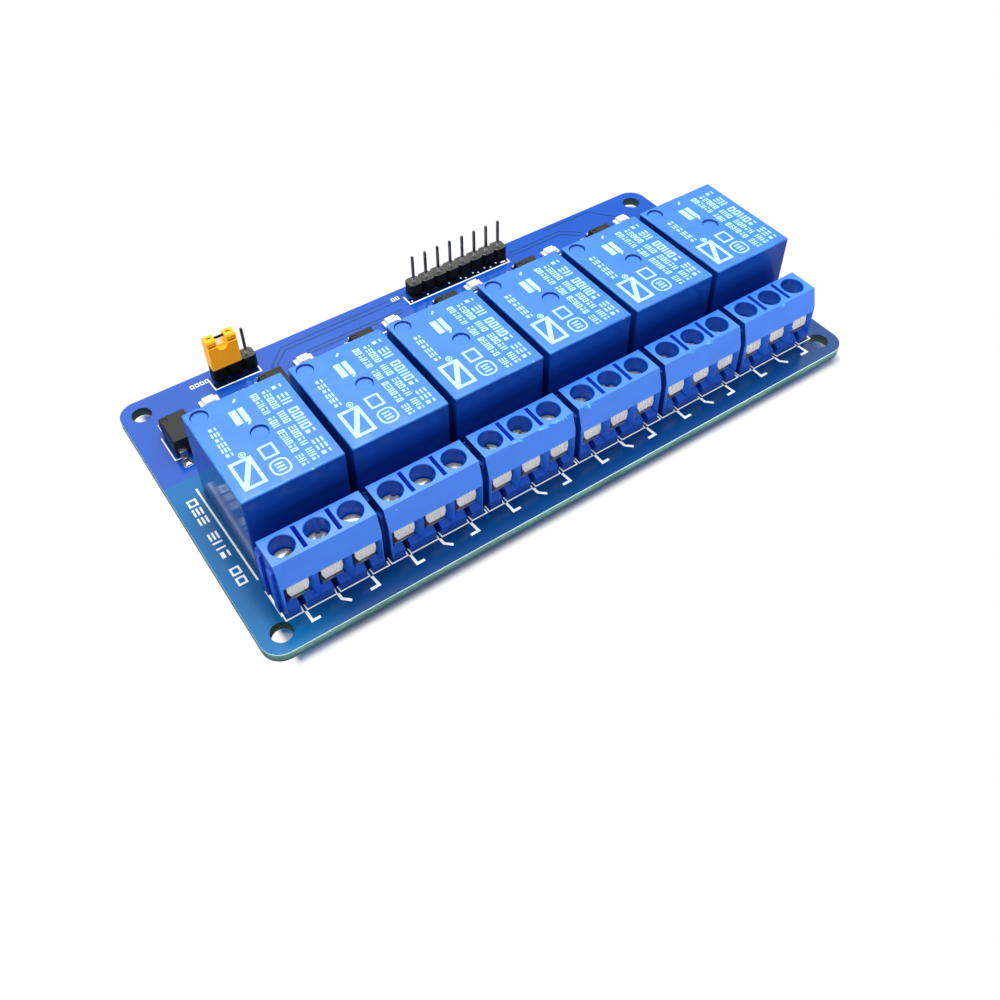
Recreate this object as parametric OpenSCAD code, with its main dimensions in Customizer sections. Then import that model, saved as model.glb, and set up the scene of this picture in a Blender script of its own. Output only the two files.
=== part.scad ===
// Six-channel relay module board
//
// A printed circuit board with a row of six sealed relays. Each relay switches a
// three-pole screw terminal block along the front edge, and is driven through an
// optocoupler from the pin header along the back edge. A jumper cap on a second,
// three-pin header chooses where the relay coils take their supply from.
//
// Frame: the origin is the centre of the four mounting holes, on the underside of
// the board. +X runs along the row of relays, +Y points from the screw terminals
// to the control header, and +Z is up through the parts. All sizes are in mm.

/* [Board] */
// Margin of the board beyond the outer terminal blocks
end_margin = 4.63; // [4.2:0.01:8]
// Depth of the strip of board behind the relays
back_strip = 22.9; // [21.5:0.1:28]
// Thickness of the board
board_thickness = 1.6; // [1:0.1:2.4]
// Radius of the board's corners
corner_radius = 3; // [1:0.5:4]
// Diameter of the mounting holes
mount_hole_diameter = 3.2; // [2.8:0.1:3.6]
// Distance of each mounting hole's centre from the two nearest edges
mount_hole_inset = 3.3; // [3:0.1:3.6]

/* [Channels] */
// Gap from one relay to the next
channel_gap = 1.1; // [1:0.05:1.6]
// Distance of the middle of the row from the middle of the board
row_shift = 0.3; // [-0.5:0.1:0.5]

/* [Relays] */
// Width of a relay along the row
relay_width = 15.2; // [14.4:0.1:15.5]
// Length of a relay across the board
relay_length = 19; // [18:0.1:19.4]
// Height of a relay above the board
relay_height = 15.5; // [13:0.1:18]
// Gap between a terminal block and the relay behind it
relay_gap = 0.7; // [0.3:0.1:1]
// Wall of the relay's cover around its base
relay_wall = 0.8; // [0.5:0.1:1.2]
// Height of the relay's base
relay_base_height = 2.6; // [1.6:0.1:4]
// Bevel round the top of the relay's cover
relay_bevel = 0.35; // [0.1:0.05:0.8]
// Diameter of the two ejector marks on top of the cover
ejector_diameter = 2.5; // [1.5:0.1:3]
// Depth of the ejector marks
ejector_depth = 0.2; // [0.1:0.05:0.5]
// Distance across the relay between its paired pins
relay_pin_span = 12; // [10:0.1:12.4]
// Distance along the relay from the contact pins to the coil pins
relay_pin_row = 12.2; // [11:0.1:12.6]
// Distance along the relay from the coil pins to the common pin
relay_common_offset = 2; // [1.4:0.1:2.4]
// Width of a relay pin
relay_pin_width = 0.9; // [0.6:0.05:1]
// Thickness of a relay pin
relay_pin_thickness = 0.4; // [0.3:0.05:0.6]

/* [Screw terminals] */
// Distance from the board's front edge to the wire side of the terminal blocks
terminal_setback = 4.8; // [4.4:0.1:5.2]
// Distance from one pole of a terminal block to the next
pole_pitch = 5.08; // [4.95:0.01:5.12]
// Height of a terminal block
terminal_height = 10; // [9.5:0.1:12]
// Distance from the screws to the wire side
terminal_wire_side = 3.6; // [3.5:0.1:4]
// Distance from the screws to the back of the block
terminal_back = 4; // [3.8:0.1:4.3]
// Width of the flat top of a block
terminal_top_width = 4.9; // [4.8:0.1:5.4]
// Distance from the top of a block down to the bend in its wire side, where the entries start
bend_drop = 3.9; // [3.6:0.1:4.1]
// Height of the sill under the wire entries
sill_height = 1.4; // [1:0.1:1.7]
// Thickness of the partitions between the wire entries
partition_thickness = 0.54; // [0.4:0.02:0.8]
// Diameter of the screw wells
well_diameter = 3.6; // [3.5:0.05:3.8]
// Width of the slots in the top between the poles
relief_slot_width = 0.66; // [0.4:0.02:0.8]
// Length of the slots in the top
relief_slot_length = 4.1; // [3:0.1:4.4]
// Depth of the slots in the top
relief_slot_depth = 6; // [2:0.5:7]
// Width of the notch that each contact slides in through
notch_width = 0.9; // [0.8:0.05:1.2]
// Distance that the dovetail ribs stand out from the end of a block
rib_height = 0.5; // [0.3:0.05:0.6]
// Width of a dovetail rib at its root
rib_root = 0.9; // [0.6:0.05:1.1]
// Widening of a dovetail rib from its root to its tip, on each side
rib_flare = 0.25; // [0.1:0.05:0.3]
// Clearance of the dovetail grooves round their ribs
rib_clearance = 0.05; // [0.03:0.01:0.1]

/* [Clamps] */
// Width of the sheet metal clamp parts
clamp_width = 3.2; // [2.8:0.1:3.3]
// Thickness of the contact's sheet metal
contact_sheet = 0.4; // [0.3:0.02:0.5]
// Thickness of the wire guard's sheet metal
guard_sheet = 0.3; // [0.2:0.02:0.35]
// Gap that is left for the wire under the guard
wire_gap = 0.4; // [0.3:0.1:0.9]
// Diameter of the clamp screws' heads
screw_head_diameter = 3.3; // [3.1:0.05:3.4]
// Depth of the screw heads below the top of the block
screw_head_depth = 2.6; // [2.4:0.1:3.2]
// Diameter of the clamp screws' threads
screw_diameter = 2.5; // [2:0.1:2.6]
// Width of the slots in the screw heads
driver_slot_width = 0.6; // [0.4:0.05:0.8]
// Depth of the slots in the screw heads
driver_slot_depth = 0.6; // [0.3:0.05:0.7]
// Width of a contact's solder tail
tail_width = 0.8; // [0.5:0.05:0.8]

/* [Pin headers] */
// Distance from one header pin to the next
pin_pitch = 2.54; // [2.5:0.01:2.6]
// Thickness of the square header pins
pin_size = 0.56; // [0.5:0.02:0.7]
// Height of the header pins' tips above the board
pin_height = 7.8; // [7:0.1:8.2]
// Height of the header housings
header_height = 2.54; // [2:0.01:2.8]
// Width of a header housing
header_width = 2.5; // [2:0.1:2.6]
// Cut at each corner of a header's cells
cell_chamfer = 0.55; // [0.2:0.05:0.7]
// Distance from the board's back edge to the header pins
header_setback = 2.25; // [2:0.05:2.6]
// Distance from the middle of the board to the control header's middle
control_header_place = 10.26; // [8:0.1:12]
// Distance from the board's left end to the supply header's middle pin
supply_header_inset = 19.75; // [17:0.05:21]

/* [Jumper cap] */
// Width of the jumper cap's sides, front to back
cap_width = 2.4; // [2.2:0.05:2.6]
// Height of the cap's shoulder above the header
cap_shoulder_height = 4.5; // [4.2:0.1:5.4]
// Height of the two humps above the shoulder
cap_hump_height = 1.3; // [1:0.1:1.6]
// Radius of the notch between the humps
cap_notch_radius = 0.75; // [0.5:0.05:0.9]
// Wall at the ends of the cap
cap_wall = 0.35; // [0.2:0.05:0.45]
// Thickness of the spring clip inside the cap
clip_sheet = 0.2; // [0.15:0.01:0.25]

/* [Surface mounted parts] */
// Distance from one optocoupler to the next, beyond that of the relays
opto_pitch_extra = 0.3; // [0:0.1:0.5]
// Width of an optocoupler along the row
opto_width = 4.5; // [4:0.1:4.8]
// Length of an optocoupler between its rows of leads
opto_length = 6.4; // [6:0.1:6.8]
// Height of an optocoupler above the board
opto_height = 3.5; // [3:0.1:4]
// Distance from the relays to the middle of the optocouplers
opto_distance = 10.65; // [10.3:0.05:10.9]
// Thickness of the optocouplers' leads
opto_lead_sheet = 0.25; // [0.2:0.01:0.3]
// Distance from one indicator to the next, beyond that of the relays
indicator_pitch_extra = 0.5; // [0:0.1:0.7]
// Length of an indicator
indicator_length = 3.2; // [2.8:0.1:3.4]
// Width of an indicator
indicator_width = 1.6; // [1.2:0.1:1.8]
// Height of an indicator
indicator_height = 1.1; // [0.8:0.1:1.4]
// Distance from the relays to the middle of the indicators
indicator_distance = 15.8; // [15.5:0.1:16]
// Length of a chip resistor
resistor_length = 2; // [1.6:0.1:2.1]
// Width of a chip resistor
resistor_width = 1.25; // [0.8:0.05:1.3]
// Height of a chip resistor
resistor_height = 0.5; // [0.4:0.05:0.6]
// Length of a transistor
transistor_length = 2.9; // [2.8:0.1:3]
// Width of a transistor
transistor_width = 1.3; // [1.2:0.1:1.4]
// Height of a transistor
transistor_height = 1; // [0.9:0.1:1.2]
// Length of a diode
diode_length = 4.3; // [4:0.1:4.5]
// Width of a diode
diode_width = 2.6; // [2.4:0.1:2.7]
// Height of a diode
diode_height = 2.1; // [1.9:0.1:2.3]

/* [Soldering] */
// Height of the pin ends below the board
tail_length = 1.4; // [1:0.1:2]
// Height of the solder cones under the board
solder_height = 1; // [0.5:0.1:1]
// Diameter of a solder cone at the board
solder_diameter = 2; // [1.9:0.1:2.2]
// Diameter of a solder cone at its end
solder_tip_diameter = 1.35; // [1.32:0.01:1.5]
// Room that the holes in the board leave round the pins
drill_room = 0.15; // [0.05:0.05:0.2]

/* [Hidden] */
$fn = 48;
channels = 6;
poles = 3;
control_pins = 8;
supply_pins = 3;
cut = 0.1;
top = board_thickness;

function numbered(name) = [for (i = [1 : channels]) str(name, "_", i)];

// The board is as long as the row of channels needs, and as wide as its parts and their strips
terminal_length = poles * pole_pitch;
channel_pitch = relay_width + channel_gap;
opto_pitch = channel_pitch + opto_pitch_extra;
indicator_pitch = channel_pitch + indicator_pitch_extra;
board_length = (channels - 1) * channel_pitch + terminal_length + 2 * end_margin;
terminal_depth = terminal_wire_side + terminal_back;
board_width = terminal_setback + terminal_depth + relay_gap + relay_length + back_strip;

// Places along the board
function row_place(i, pitch) = row_shift + (i - (channels + 1) / 2) * pitch;
function channel_place(i) = row_place(i, channel_pitch);
function pole_place(p) = (p - (poles + 1) / 2) * pole_pitch;
hole_x = board_length / 2 - mount_hole_inset;
hole_y = board_width / 2 - mount_hole_inset;
front_edge = -board_width / 2;
back_edge = board_width / 2;
terminal_y = front_edge + terminal_setback + terminal_wire_side;
relay_y = terminal_y + terminal_back + relay_gap + relay_length / 2;
relay_back = relay_y + relay_length / 2;
header_y = back_edge - header_setback;
supply_header_place = supply_header_inset - board_length / 2;
opto_y = relay_back + opto_distance;
indicator_y = relay_back + indicator_distance;
opto_shift = -5.35;
indicator_shift = 1.9;

// Terminal block
entry_height = terminal_height - bend_drop;
terminal_shoulder_drop = 1.4;
terminal_shoulder_slope = 1.5;
terminal_corner = 0.4;
entry_width = pole_pitch - partition_thickness;
chamber_width = clamp_width + 0.2;
chamber_back = 2.4;
entry_depth = 1.5;
entry_lip = 0.3;
guard_setback = 0.86;
contact_front = -terminal_wire_side + guard_setback;
contact_back = chamber_back - 0.1;
floor_height = sill_height + 0.65;
guard_height = floor_height + contact_sheet + wire_gap;
guard_lean = 0.5;
guard_bend = 0.4;
well_chamfer = 0.1;
rib_top = terminal_height - 1.4;
rib_places = [1.7, -1.75];
screw_top = terminal_height - screw_head_depth;
screw_head_height = 1.3;
under_head = screw_top - screw_head_height;
screw_reserve = 0.6;
thread_plate_height = under_head - screw_reserve - contact_sheet;
tail_depth = 1;
notch_end = tail_depth / 2 + 0.05;

// Relay
relay_standoff = 0.3;
relay_corner = 0.4;
foot_size = 1.4;
relay_pin_reach = relay_base_height * 0.75;
contact_row_y = -relay_length / 2 + 2.4;
coil_row_y = contact_row_y + relay_pin_row;
common_row_y = coil_row_y + relay_common_offset;
relay_pin_spots = [
    [-relay_pin_span / 2, contact_row_y], [relay_pin_span / 2, contact_row_y],
    [-relay_pin_span / 2, coil_row_y], [relay_pin_span / 2, coil_row_y],
    [0, common_row_y]
];
ejector_spots = [[-relay_width / 2 + 1.95, relay_length / 2 - 1.7], [0, 0.6]];

// Every pin that goes through the board
relay_pin_places = [
    for (i = [1 : channels]) for (s = relay_pin_spots) [channel_place(i) + s.x, relay_y + s.y]
];
tail_places = [
    for (i = [1 : channels]) for (p = [1 : poles]) [channel_place(i) + pole_place(p), terminal_y]
];
function header_places(middle, count) =
    [for (n = [1 : count]) [middle + (n - (count + 1) / 2) * pin_pitch, header_y]];
control_places = header_places(control_header_place, control_pins);
supply_places = header_places(supply_header_place, supply_pins);
cap_middle = supply_header_place - pin_pitch / 2;
relay_drill = norm([relay_pin_width, relay_pin_thickness]) + drill_room;
tail_drill = norm([tail_width, tail_depth]) + drill_room;
header_drill = norm([pin_size, pin_size]) + drill_room;

// A plate with rounded corners, centred on the origin
module rounded_plate(size, radius, height) {
    linear_extrude(height) {
        square([size.x, size.y - 2 * radius], center = true);
        square([size.x - 2 * radius, size.y], center = true);
        for (x = [-1, 1], y = [-1, 1])
            translate([x * (size.x / 2 - radius), y * (size.y / 2 - radius)]) circle(radius);
    }
}

// An outline drawn in Y and Z, carried along X and centred on the origin
module across(length, points) {
    translate([-length / 2, 0, 0]) rotate([90, 0, 90]) linear_extrude(length) polygon(points);
}

// An outline drawn in X and Z, carried along Y and centred on the origin
module along(length, points) {
    translate([0, length / 2, 0]) rotate([90, 0, 0]) linear_extrude(length) polygon(points);
}

// A box that stands on the origin
module block(size) {
    translate([-size.x / 2, -size.y / 2, 0]) cube(size);
}

// The outline of a bar seen from the side, with both upper corners cut
function cut_corners(width, low, high, chamfer) = [
    [-width / 2, low], [width / 2, low], [width / 2, high - chamfer],
    [width / 2 - chamfer, high], [-width / 2 + chamfer, high], [-width / 2, high - chamfer]
];

module drill_row(places, diameter) {
    for (p = places) translate([p.x, p.y, -cut]) cylinder(d = diameter, h = top + 2 * cut);
}

module circuit_board() {
    color("royalblue") difference() {
        rounded_plate([board_length, board_width], corner_radius, board_thickness);
        for (x = [-1, 1], y = [-1, 1])
            translate([x * hole_x, y * hole_y, -cut])
                cylinder(d = mount_hole_diameter, h = top + 2 * cut);
        drill_row(relay_pin_places, relay_drill);
        drill_row(tail_places, tail_drill);
        drill_row(control_places, header_drill);
        drill_row(supply_places, header_drill);
    }
}

// Relays: a moulded cover over a base that carries the pins

module at_relay(i) {
    translate([channel_place(i), relay_y, top]) children();
}

module relay_cover(i) {
    inside = [relay_width - 2 * relay_wall, relay_length - 2 * relay_wall];
    color("dodgerblue") at_relay(i) difference() {
        intersection() {
            translate([0, 0, relay_standoff])
                rounded_plate([relay_width, relay_length], relay_corner, relay_height);
            along(relay_length + 2, cut_corners(relay_width, 0, relay_height, relay_bevel));
            across(relay_width + 2, cut_corners(relay_length, 0, relay_height, relay_bevel));
        }
        block([inside.x, inside.y, relay_base_height]);
        for (s = ejector_spots)
            translate([s.x, s.y, relay_height - ejector_depth])
                cylinder(d = ejector_diameter, h = ejector_depth + cut);
    }
}

module relay_base(i) {
    fit = 0.05;
    size = [relay_width - 2 * (relay_wall + fit), relay_length - 2 * (relay_wall + fit)];
    color("midnightblue") at_relay(i) difference() {
        union() {
            translate([0, 0, relay_standoff])
                block([size.x, size.y, relay_base_height - relay_standoff]);
            for (x = [-1, 1], y = [-1, 1])
                translate([x * (size.x - foot_size) / 2, y * (size.y - foot_size) / 2, 0])
                    block([foot_size, foot_size, relay_base_height / 2]);
        }
        for (s = relay_pin_spots)
            translate([s.x, s.y, -cut])
                block([relay_pin_width, relay_pin_thickness, relay_pin_reach + cut]);
    }
}

module relay_pins() {
    color("silver") for (p = relay_pin_places)
        translate([p.x, p.y, -tail_length])
            block([relay_pin_width, relay_pin_thickness, tail_length + top + relay_pin_reach]);
}

// Screw terminals: a moulded housing whose left end carries dovetail ribs and whose right
// end has the grooves for the next block. Each pole is a chamber that opens to the front,
// with a well for its screw above and a notch that its contact slides in through.

module at_terminal(i) {
    translate([channel_place(i), terminal_y, top]) children();
}

module each_pole() {
    for (p = [1 : poles]) translate([pole_place(p), 0, 0]) children();
}

// A dovetail seen from above: its root lies on the Y axis and it widens towards -X
module dovetail(room, height) {
    root = rib_root / 2 + room;
    tip = root + rib_flare;
    linear_extrude(height) polygon([
        [cut, -root], [0, -root], [-rib_height - room, -tip],
        [-rib_height - room, tip], [0, root], [cut, root]
    ]);
}

module dovetails(x, room) {
    for (y = rib_places) translate([x, y, -room]) dovetail(room, rib_top + 2 * room);
}

module terminal_shell() {
    shoulder = terminal_height - terminal_shoulder_drop;
    half_top = terminal_top_width / 2;
    intersection() {
        across(terminal_length, [
            [-terminal_wire_side, 0], [terminal_back, 0],
            [terminal_back, shoulder - terminal_shoulder_slope], [half_top, shoulder],
            [half_top, terminal_height], [-half_top, terminal_height],
            [-terminal_wire_side, entry_height]
        ]);
        translate([0, (terminal_back - terminal_wire_side) / 2, 0])
            rounded_plate(
                [terminal_length, terminal_back + terminal_wire_side],
                terminal_corner, terminal_height
            );
    }
}

// The space inside one pole: chamber, entry with flared sides and a sloping sill, notch and well
module pole_space() {
    translate([-chamber_width / 2, contact_front, floor_height])
        cube([chamber_width, chamber_back - contact_front, entry_height - floor_height]);
    intersection() {
        across(entry_width, [
            [-terminal_wire_side - cut, sill_height - cut],
            [contact_front, floor_height], [-terminal_wire_side + entry_depth, floor_height],
            [-terminal_wire_side + entry_depth, entry_height],
            [-terminal_wire_side - cut, entry_height]
        ]);
        linear_extrude(terminal_height) polygon([
            [-entry_width / 2, -terminal_wire_side - cut],
            [entry_width / 2, -terminal_wire_side - cut],
            [entry_width / 2, -terminal_wire_side + entry_lip],
            [chamber_width / 2, -terminal_wire_side + entry_depth],
            [-chamber_width / 2, -terminal_wire_side + entry_depth],
            [-entry_width / 2, -terminal_wire_side + entry_lip]
        ]);
    }
    translate([-notch_width / 2, -terminal_wire_side - cut, -cut])
        cube([notch_width, terminal_wire_side + notch_end + cut, floor_height + 2 * cut]);
    translate([0, 0, entry_height - cut])
        cylinder(d = well_diameter, h = terminal_height - entry_height + 2 * cut);
    translate([0, 0, terminal_height - well_chamfer])
        cylinder(
            d1 = well_diameter, d2 = well_diameter + 4 * well_chamfer, h = 2 * well_chamfer
        );
}

module relief_slots() {
    for (p = [1 : poles - 1])
        translate([pole_place(p) + pole_pitch / 2, 0.1, terminal_height - relief_slot_depth])
            block([relief_slot_width, relief_slot_length, relief_slot_depth + cut]);
}

module terminal_housing(i) {
    color("cornflowerblue") at_terminal(i) difference() {
        union() {
            terminal_shell();
            intersection() {
                dovetails(-terminal_length / 2, 0);
                block([2 * terminal_length, 2 * terminal_back, terminal_height]);
            }
        }
        each_pole() pole_space();
        relief_slots();
        dovetails(terminal_length / 2, rib_clearance);
    }
}

module clamp_screws(i) {
    fit = 0.05;
    tip = guard_height + guard_sheet;
    color("darkkhaki") at_terminal(i) each_pole() difference() {
        union() {
            translate([0, 0, tip]) cylinder(d = screw_diameter, h = under_head - tip + fit);
            translate([0, 0, under_head])
                cylinder(d = screw_head_diameter, h = screw_head_height);
        }
        translate([0, 0, screw_top - driver_slot_depth])
            block([screw_head_diameter + 1, driver_slot_width, driver_slot_depth + cut]);
    }
}

// A strip bent into an L: its foot lies under the screw's tip, and its flap, with both lower
// corners cut, leans back from the wire entry to the top of the chamber
module wire_guards(i) {
    flap_top = entry_height - 0.15;
    toe = contact_front - guard_lean;
    foot_back = contact_back - contact_sheet - 0.1;
    foot_width = clamp_width * 0.7;
    inside = guard_bend + guard_sheet * tan(22.5);
    color("gainsboro") at_terminal(i) each_pole() {
        translate([-foot_width / 2, toe + guard_bend, guard_height])
            cube([foot_width, foot_back - toe - guard_bend, guard_sheet]);
        intersection() {
            across(clamp_width, [
                [toe + guard_bend, guard_height], [toe + inside, guard_height + guard_sheet],
                [toe + guard_sheet, guard_height + inside],
                [contact_front + guard_sheet, flap_top], [contact_front, flap_top],
                [toe, guard_height + guard_bend]
            ]);
            translate([0, contact_front, 0]) along(4 * guard_lean, [
                [-foot_width / 2, guard_height], [foot_width / 2, guard_height],
                [clamp_width / 2, guard_height + 2 * guard_bend], [clamp_width / 2, flap_top],
                [-clamp_width / 2, flap_top], [-clamp_width / 2, guard_height + 2 * guard_bend]
            ]);
        }
    }
}

// A strip bent into a C, with the threaded hole in its upper arm and the solder tail below
module terminal_contacts(i) {
    thread_room = 0.05;
    upper = thread_plate_height;
    upper_front = contact_front + guard_sheet + 0.1;
    color("silver") at_terminal(i) each_pole() difference() {
        union() {
            across(clamp_width, [
                [contact_front, floor_height], [contact_back, floor_height],
                [contact_back, upper + contact_sheet], [upper_front, upper + contact_sheet],
                [upper_front, upper], [contact_back - contact_sheet, upper],
                [contact_back - contact_sheet, floor_height + contact_sheet],
                [contact_front, floor_height + contact_sheet]
            ]);
            translate([0, 0, -top - tail_length])
                block([tail_width, tail_depth, top + tail_length + floor_height + contact_sheet / 2]);
        }
        translate([0, 0, upper - cut])
            cylinder(d = screw_diameter + 2 * thread_room, h = contact_sheet + 2 * cut);
    }
}

// Pin headers

module header_housing(places) {
    half = header_width / 2;
    inner = half - cell_chamfer;
    side = pin_pitch / 2;
    for (p = places) translate([p.x, p.y, top]) difference() {
        linear_extrude(header_height) polygon([
            [-side, -inner], [-side + cell_chamfer, -half], [side - cell_chamfer, -half],
            [side, -inner], [side, inner], [side - cell_chamfer, half],
            [-side + cell_chamfer, half], [-side, inner]
        ]);
        translate([0, 0, -cut]) block([pin_size, pin_size, header_height + 2 * cut]);
    }
}

module header_pins(places) {
    length = pin_height + top + tail_length;
    point = pin_size / 3;
    for (p = places) translate([p.x, p.y, -tail_length]) intersection() {
        along(pin_size, cut_corners(pin_size, 0, length, point));
        across(pin_size, cut_corners(pin_size, 0, length, point));
    }
}

module control_header_housing() {
    color("dimgray") header_housing(control_places);
}

module control_header_pins() {
    color("silver") header_pins(control_places);
}

module supply_header_housing() {
    color("dimgray") header_housing(supply_places);
}

module supply_header_pins() {
    color("silver") header_pins(supply_places);
}

// Jumper cap: two humps with a round-bottomed notch between them, over two sockets. Each hump
// has a narrow test slot in its top and a ledge at its foot, and a round nub stands in the notch.

module at_cap() {
    translate([cap_middle, header_y, top + header_height]) children();
}

socket_length = pin_pitch + pin_size + 2 * clip_sheet;
socket_width = pin_size + 2 * clip_sheet;

module jumper_cap() {
    length = 2 * pin_pitch - 0.06;
    ledge = 0.3;
    hump = (length - 2 * cap_notch_radius) / 2;
    full = cap_shoulder_height + cap_hump_height;
    hump_middle = (length - hump) / 2;
    socket_top = pin_height - header_height + 0.15;
    test_slot = [0.7, 0.3];
    notch_floor = cap_shoulder_height - cap_notch_radius;
    nub_radius = cap_notch_radius * 0.6;
    color("orange") at_cap() difference() {
        union() {
            block([length, cap_width, cap_shoulder_height]);
            for (x = [-1, 1]) translate([x * hump_middle, 0, 0])
                across(hump, cut_corners(cap_width - ledge, 0, full, ledge));
        }
        translate([0, 0, cap_shoulder_height]) rotate([90, 0, 0])
            cylinder(r = cap_notch_radius, h = cap_width + 2 * cut, center = true);
        for (x = [-1, 1]) translate([x * pin_pitch / 2, 0, -cut])
            block([pin_size + 0.06, pin_size + 0.06, socket_top + cut]);
        translate([0, 0, -cut]) block([socket_length, socket_width, notch_floor - 0.4]);
        for (x = [-1, 1]) translate([x * pin_pitch / 2, 0, socket_top - cut])
            block([test_slot.x, test_slot.y, full]);
        for (x = [-1, 1], y = [-1, 1])
            translate([x * hump_middle, y * cap_width / 2, cap_shoulder_height])
                block([hump - 2 * cap_wall, 0.9, 0.45]);
    }
    color("orange") at_cap() translate([0, cap_width / 4, notch_floor + nub_radius / 2])
        rotate([90, 0, 0]) cylinder(r = nub_radius, h = cap_width / 2);
}

// A flattened sleeve of spring metal that joins the two pins
module jumper_clip() {
    height = 2.4;
    color("khaki") at_cap() translate([0, 0, 0.3]) difference() {
        block([socket_length, socket_width, height]);
        translate([0, 0, -cut]) block([
            socket_length - 2 * clip_sheet, socket_width - 2 * clip_sheet, height + 2 * cut
        ]);
    }
}

// Surface mounted parts

module at_opto(i) {
    translate([row_place(i, opto_pitch) + opto_shift, opto_y, top]) children();
}

opto_clear = 0.2;
opto_taper = 0.25;
opto_parting = 1.9;

module optocoupler(i) {
    half_width = opto_width / 2;
    half_length = opto_length / 2;
    color("darkslategray") at_opto(i) difference() {
        intersection() {
            along(opto_length + 2, [
                [-half_width + opto_taper, opto_clear], [half_width - opto_taper, opto_clear],
                [half_width, opto_parting], [half_width - opto_taper, opto_height],
                [-half_width + opto_taper, opto_height], [-half_width, opto_parting]
            ]);
            across(opto_width + 2, [
                [-half_length + opto_taper, opto_clear], [half_length - opto_taper, opto_clear],
                [half_length, opto_parting], [half_length - opto_taper, opto_height],
                [-half_length + opto_taper, opto_height], [-half_length, opto_parting]
            ]);
        }
        translate([-half_width + 0.9, half_length - 1.1, opto_height - 0.15])
            cylinder(d = 0.8, h = 1);
    }
}

// Gull-wing leads, two at each end, which start at the body's parting line
module optocoupler_leads() {
    lead_width = 1.1;
    foot = 0.9;
    reach = opto_length / 2 + 0.9;
    thick = opto_lead_sheet;
    start = opto_length / 2;
    color("silver") for (i = [1 : channels]) at_opto(i)
        for (x = [-1, 1], side = [0, 180]) rotate([0, 0, side])
            translate([x * pin_pitch / 2, 0, 0]) across(lead_width, [
                [start, opto_parting - thick / 2], [reach - thick, opto_parting - thick / 2],
                [reach - thick, 0], [reach + foot, 0], [reach + foot, thick],
                [reach, thick], [reach, opto_parting + thick / 2],
                [start, opto_parting + thick / 2]
            ]);
}

module at_indicator(i) {
    translate([row_place(i, indicator_pitch) + indicator_shift, indicator_y, top]) children();
}

// Chip indicators: a moulded lens on a small carrier
module indicators() {
    carrier = indicator_height * 0.45;
    lens = indicator_length * 0.62;
    color("ivory") for (i = [1 : channels]) at_indicator(i) {
        block([indicator_length, indicator_width, carrier]);
        intersection() {
            along(indicator_width, cut_corners(lens, carrier / 2, indicator_height, 0.15));
            across(lens, cut_corners(indicator_width, carrier / 2, indicator_height, 0.15));
        }
    }
}

// One body of a chip part with a metal cap at each end
module chip(size, end) {
    block([size.x - end, size.y, size.z - 0.04]);
    for (x = [-1, 1]) translate([x * (size.x - end) / 2, 0, 0]) block([end, size.y, size.z]);
}

module resistors() {
    size = [resistor_length, resistor_width, resistor_height];
    end = resistor_length / 6;
    y = -(indicator_width + resistor_length) / 2 - 2.2;
    color("black") for (i = [1 : channels]) at_indicator(i)
        for (x = [-1.8, 1] * resistor_width) translate([x, y, 0])
            rotate([0, 0, 90]) chip(size, end);
}

// A small three-legged transistor beside each optocoupler
module transistors() {
    body = [transistor_length, transistor_width, transistor_height];
    leg = [body.x * 0.14, body.y * 0.42, body.z * 0.12];
    legs = [[-body.x / 3, -1], [body.x / 3, -1], [0, 1]];
    color("black") for (i = [1 : channels]) at_indicator(i)
        translate([-body.x / 5, -(indicator_width + resistor_length) / 2 - 6.5, 0]) {
            translate([0, 0, leg.z]) block([body.x, body.y, body.z - leg.z]);
            for (p = legs) translate([p.x, p.y * body.y / 2, 0])
                block([leg.x, 2 * leg.y, body.z / 2]);
        }
}

// A diode across each relay's coil
module flyback_diodes() {
    body = [diode_length, diode_width, diode_height];
    tab = [body.x * 0.09, body.y * 0.54, body.z * 0.52];
    lift = body.z * 0.05;
    bevel = body.z * 0.12;
    color("black") for (i = [1 : channels]) at_relay(i)
        translate([1.6, relay_length / 2 + body.y, 0]) {
            translate([0, 0, lift]) intersection() {
                along(body.y, cut_corners(body.x, 0, body.z - lift, bevel));
                across(body.x, cut_corners(body.y, 0, body.z - lift, bevel));
            }
            for (x = [-1, 1]) translate([x * body.x / 2, 0, 0])
                block([2 * tab.x, tab.y, tab.z]);
        }
}

// Solder cones under the board, one round each pin

module solder_cone(p, pin) {
    translate([p.x, p.y, 0]) difference() {
        translate([0, 0, -solder_height])
            cylinder(d1 = solder_tip_diameter, d2 = solder_diameter, h = solder_height);
        translate([0, 0, -solder_height - cut]) block([pin.x, pin.y, solder_height + 2 * cut]);
    }
}

module solder_joints() {
    color("lightgray") {
        for (p = relay_pin_places) solder_cone(p, [relay_pin_width, relay_pin_thickness]);
        for (p = tail_places) solder_cone(p, [tail_width, tail_depth]);
        for (p = concat(control_places, supply_places)) solder_cone(p, [pin_size, pin_size]);
    }
}

module numbered_node(name, i) {
    children();
}

circuit_board();
for (i = [1 : channels]) numbered_node("relay_cover", i) relay_cover(i);
for (i = [1 : channels]) numbered_node("relay_base", i) relay_base(i);
relay_pins();
for (i = [1 : channels]) numbered_node("terminal_housing", i) terminal_housing(i);
for (i = [1 : channels]) numbered_node("clamp_screws", i) clamp_screws(i);
for (i = [1 : channels]) numbered_node("wire_guards", i) wire_guards(i);
for (i = [1 : channels]) numbered_node("terminal_contacts", i) terminal_contacts(i);
control_header_housing();
control_header_pins();
supply_header_housing();
supply_header_pins();
jumper_cap();
jumper_clip();
for (i = [1 : channels]) numbered_node("optocoupler", i) optocoupler(i);
optocoupler_leads();
indicators();
resistors();
transistors();
flyback_diodes();
solder_joints();
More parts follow.
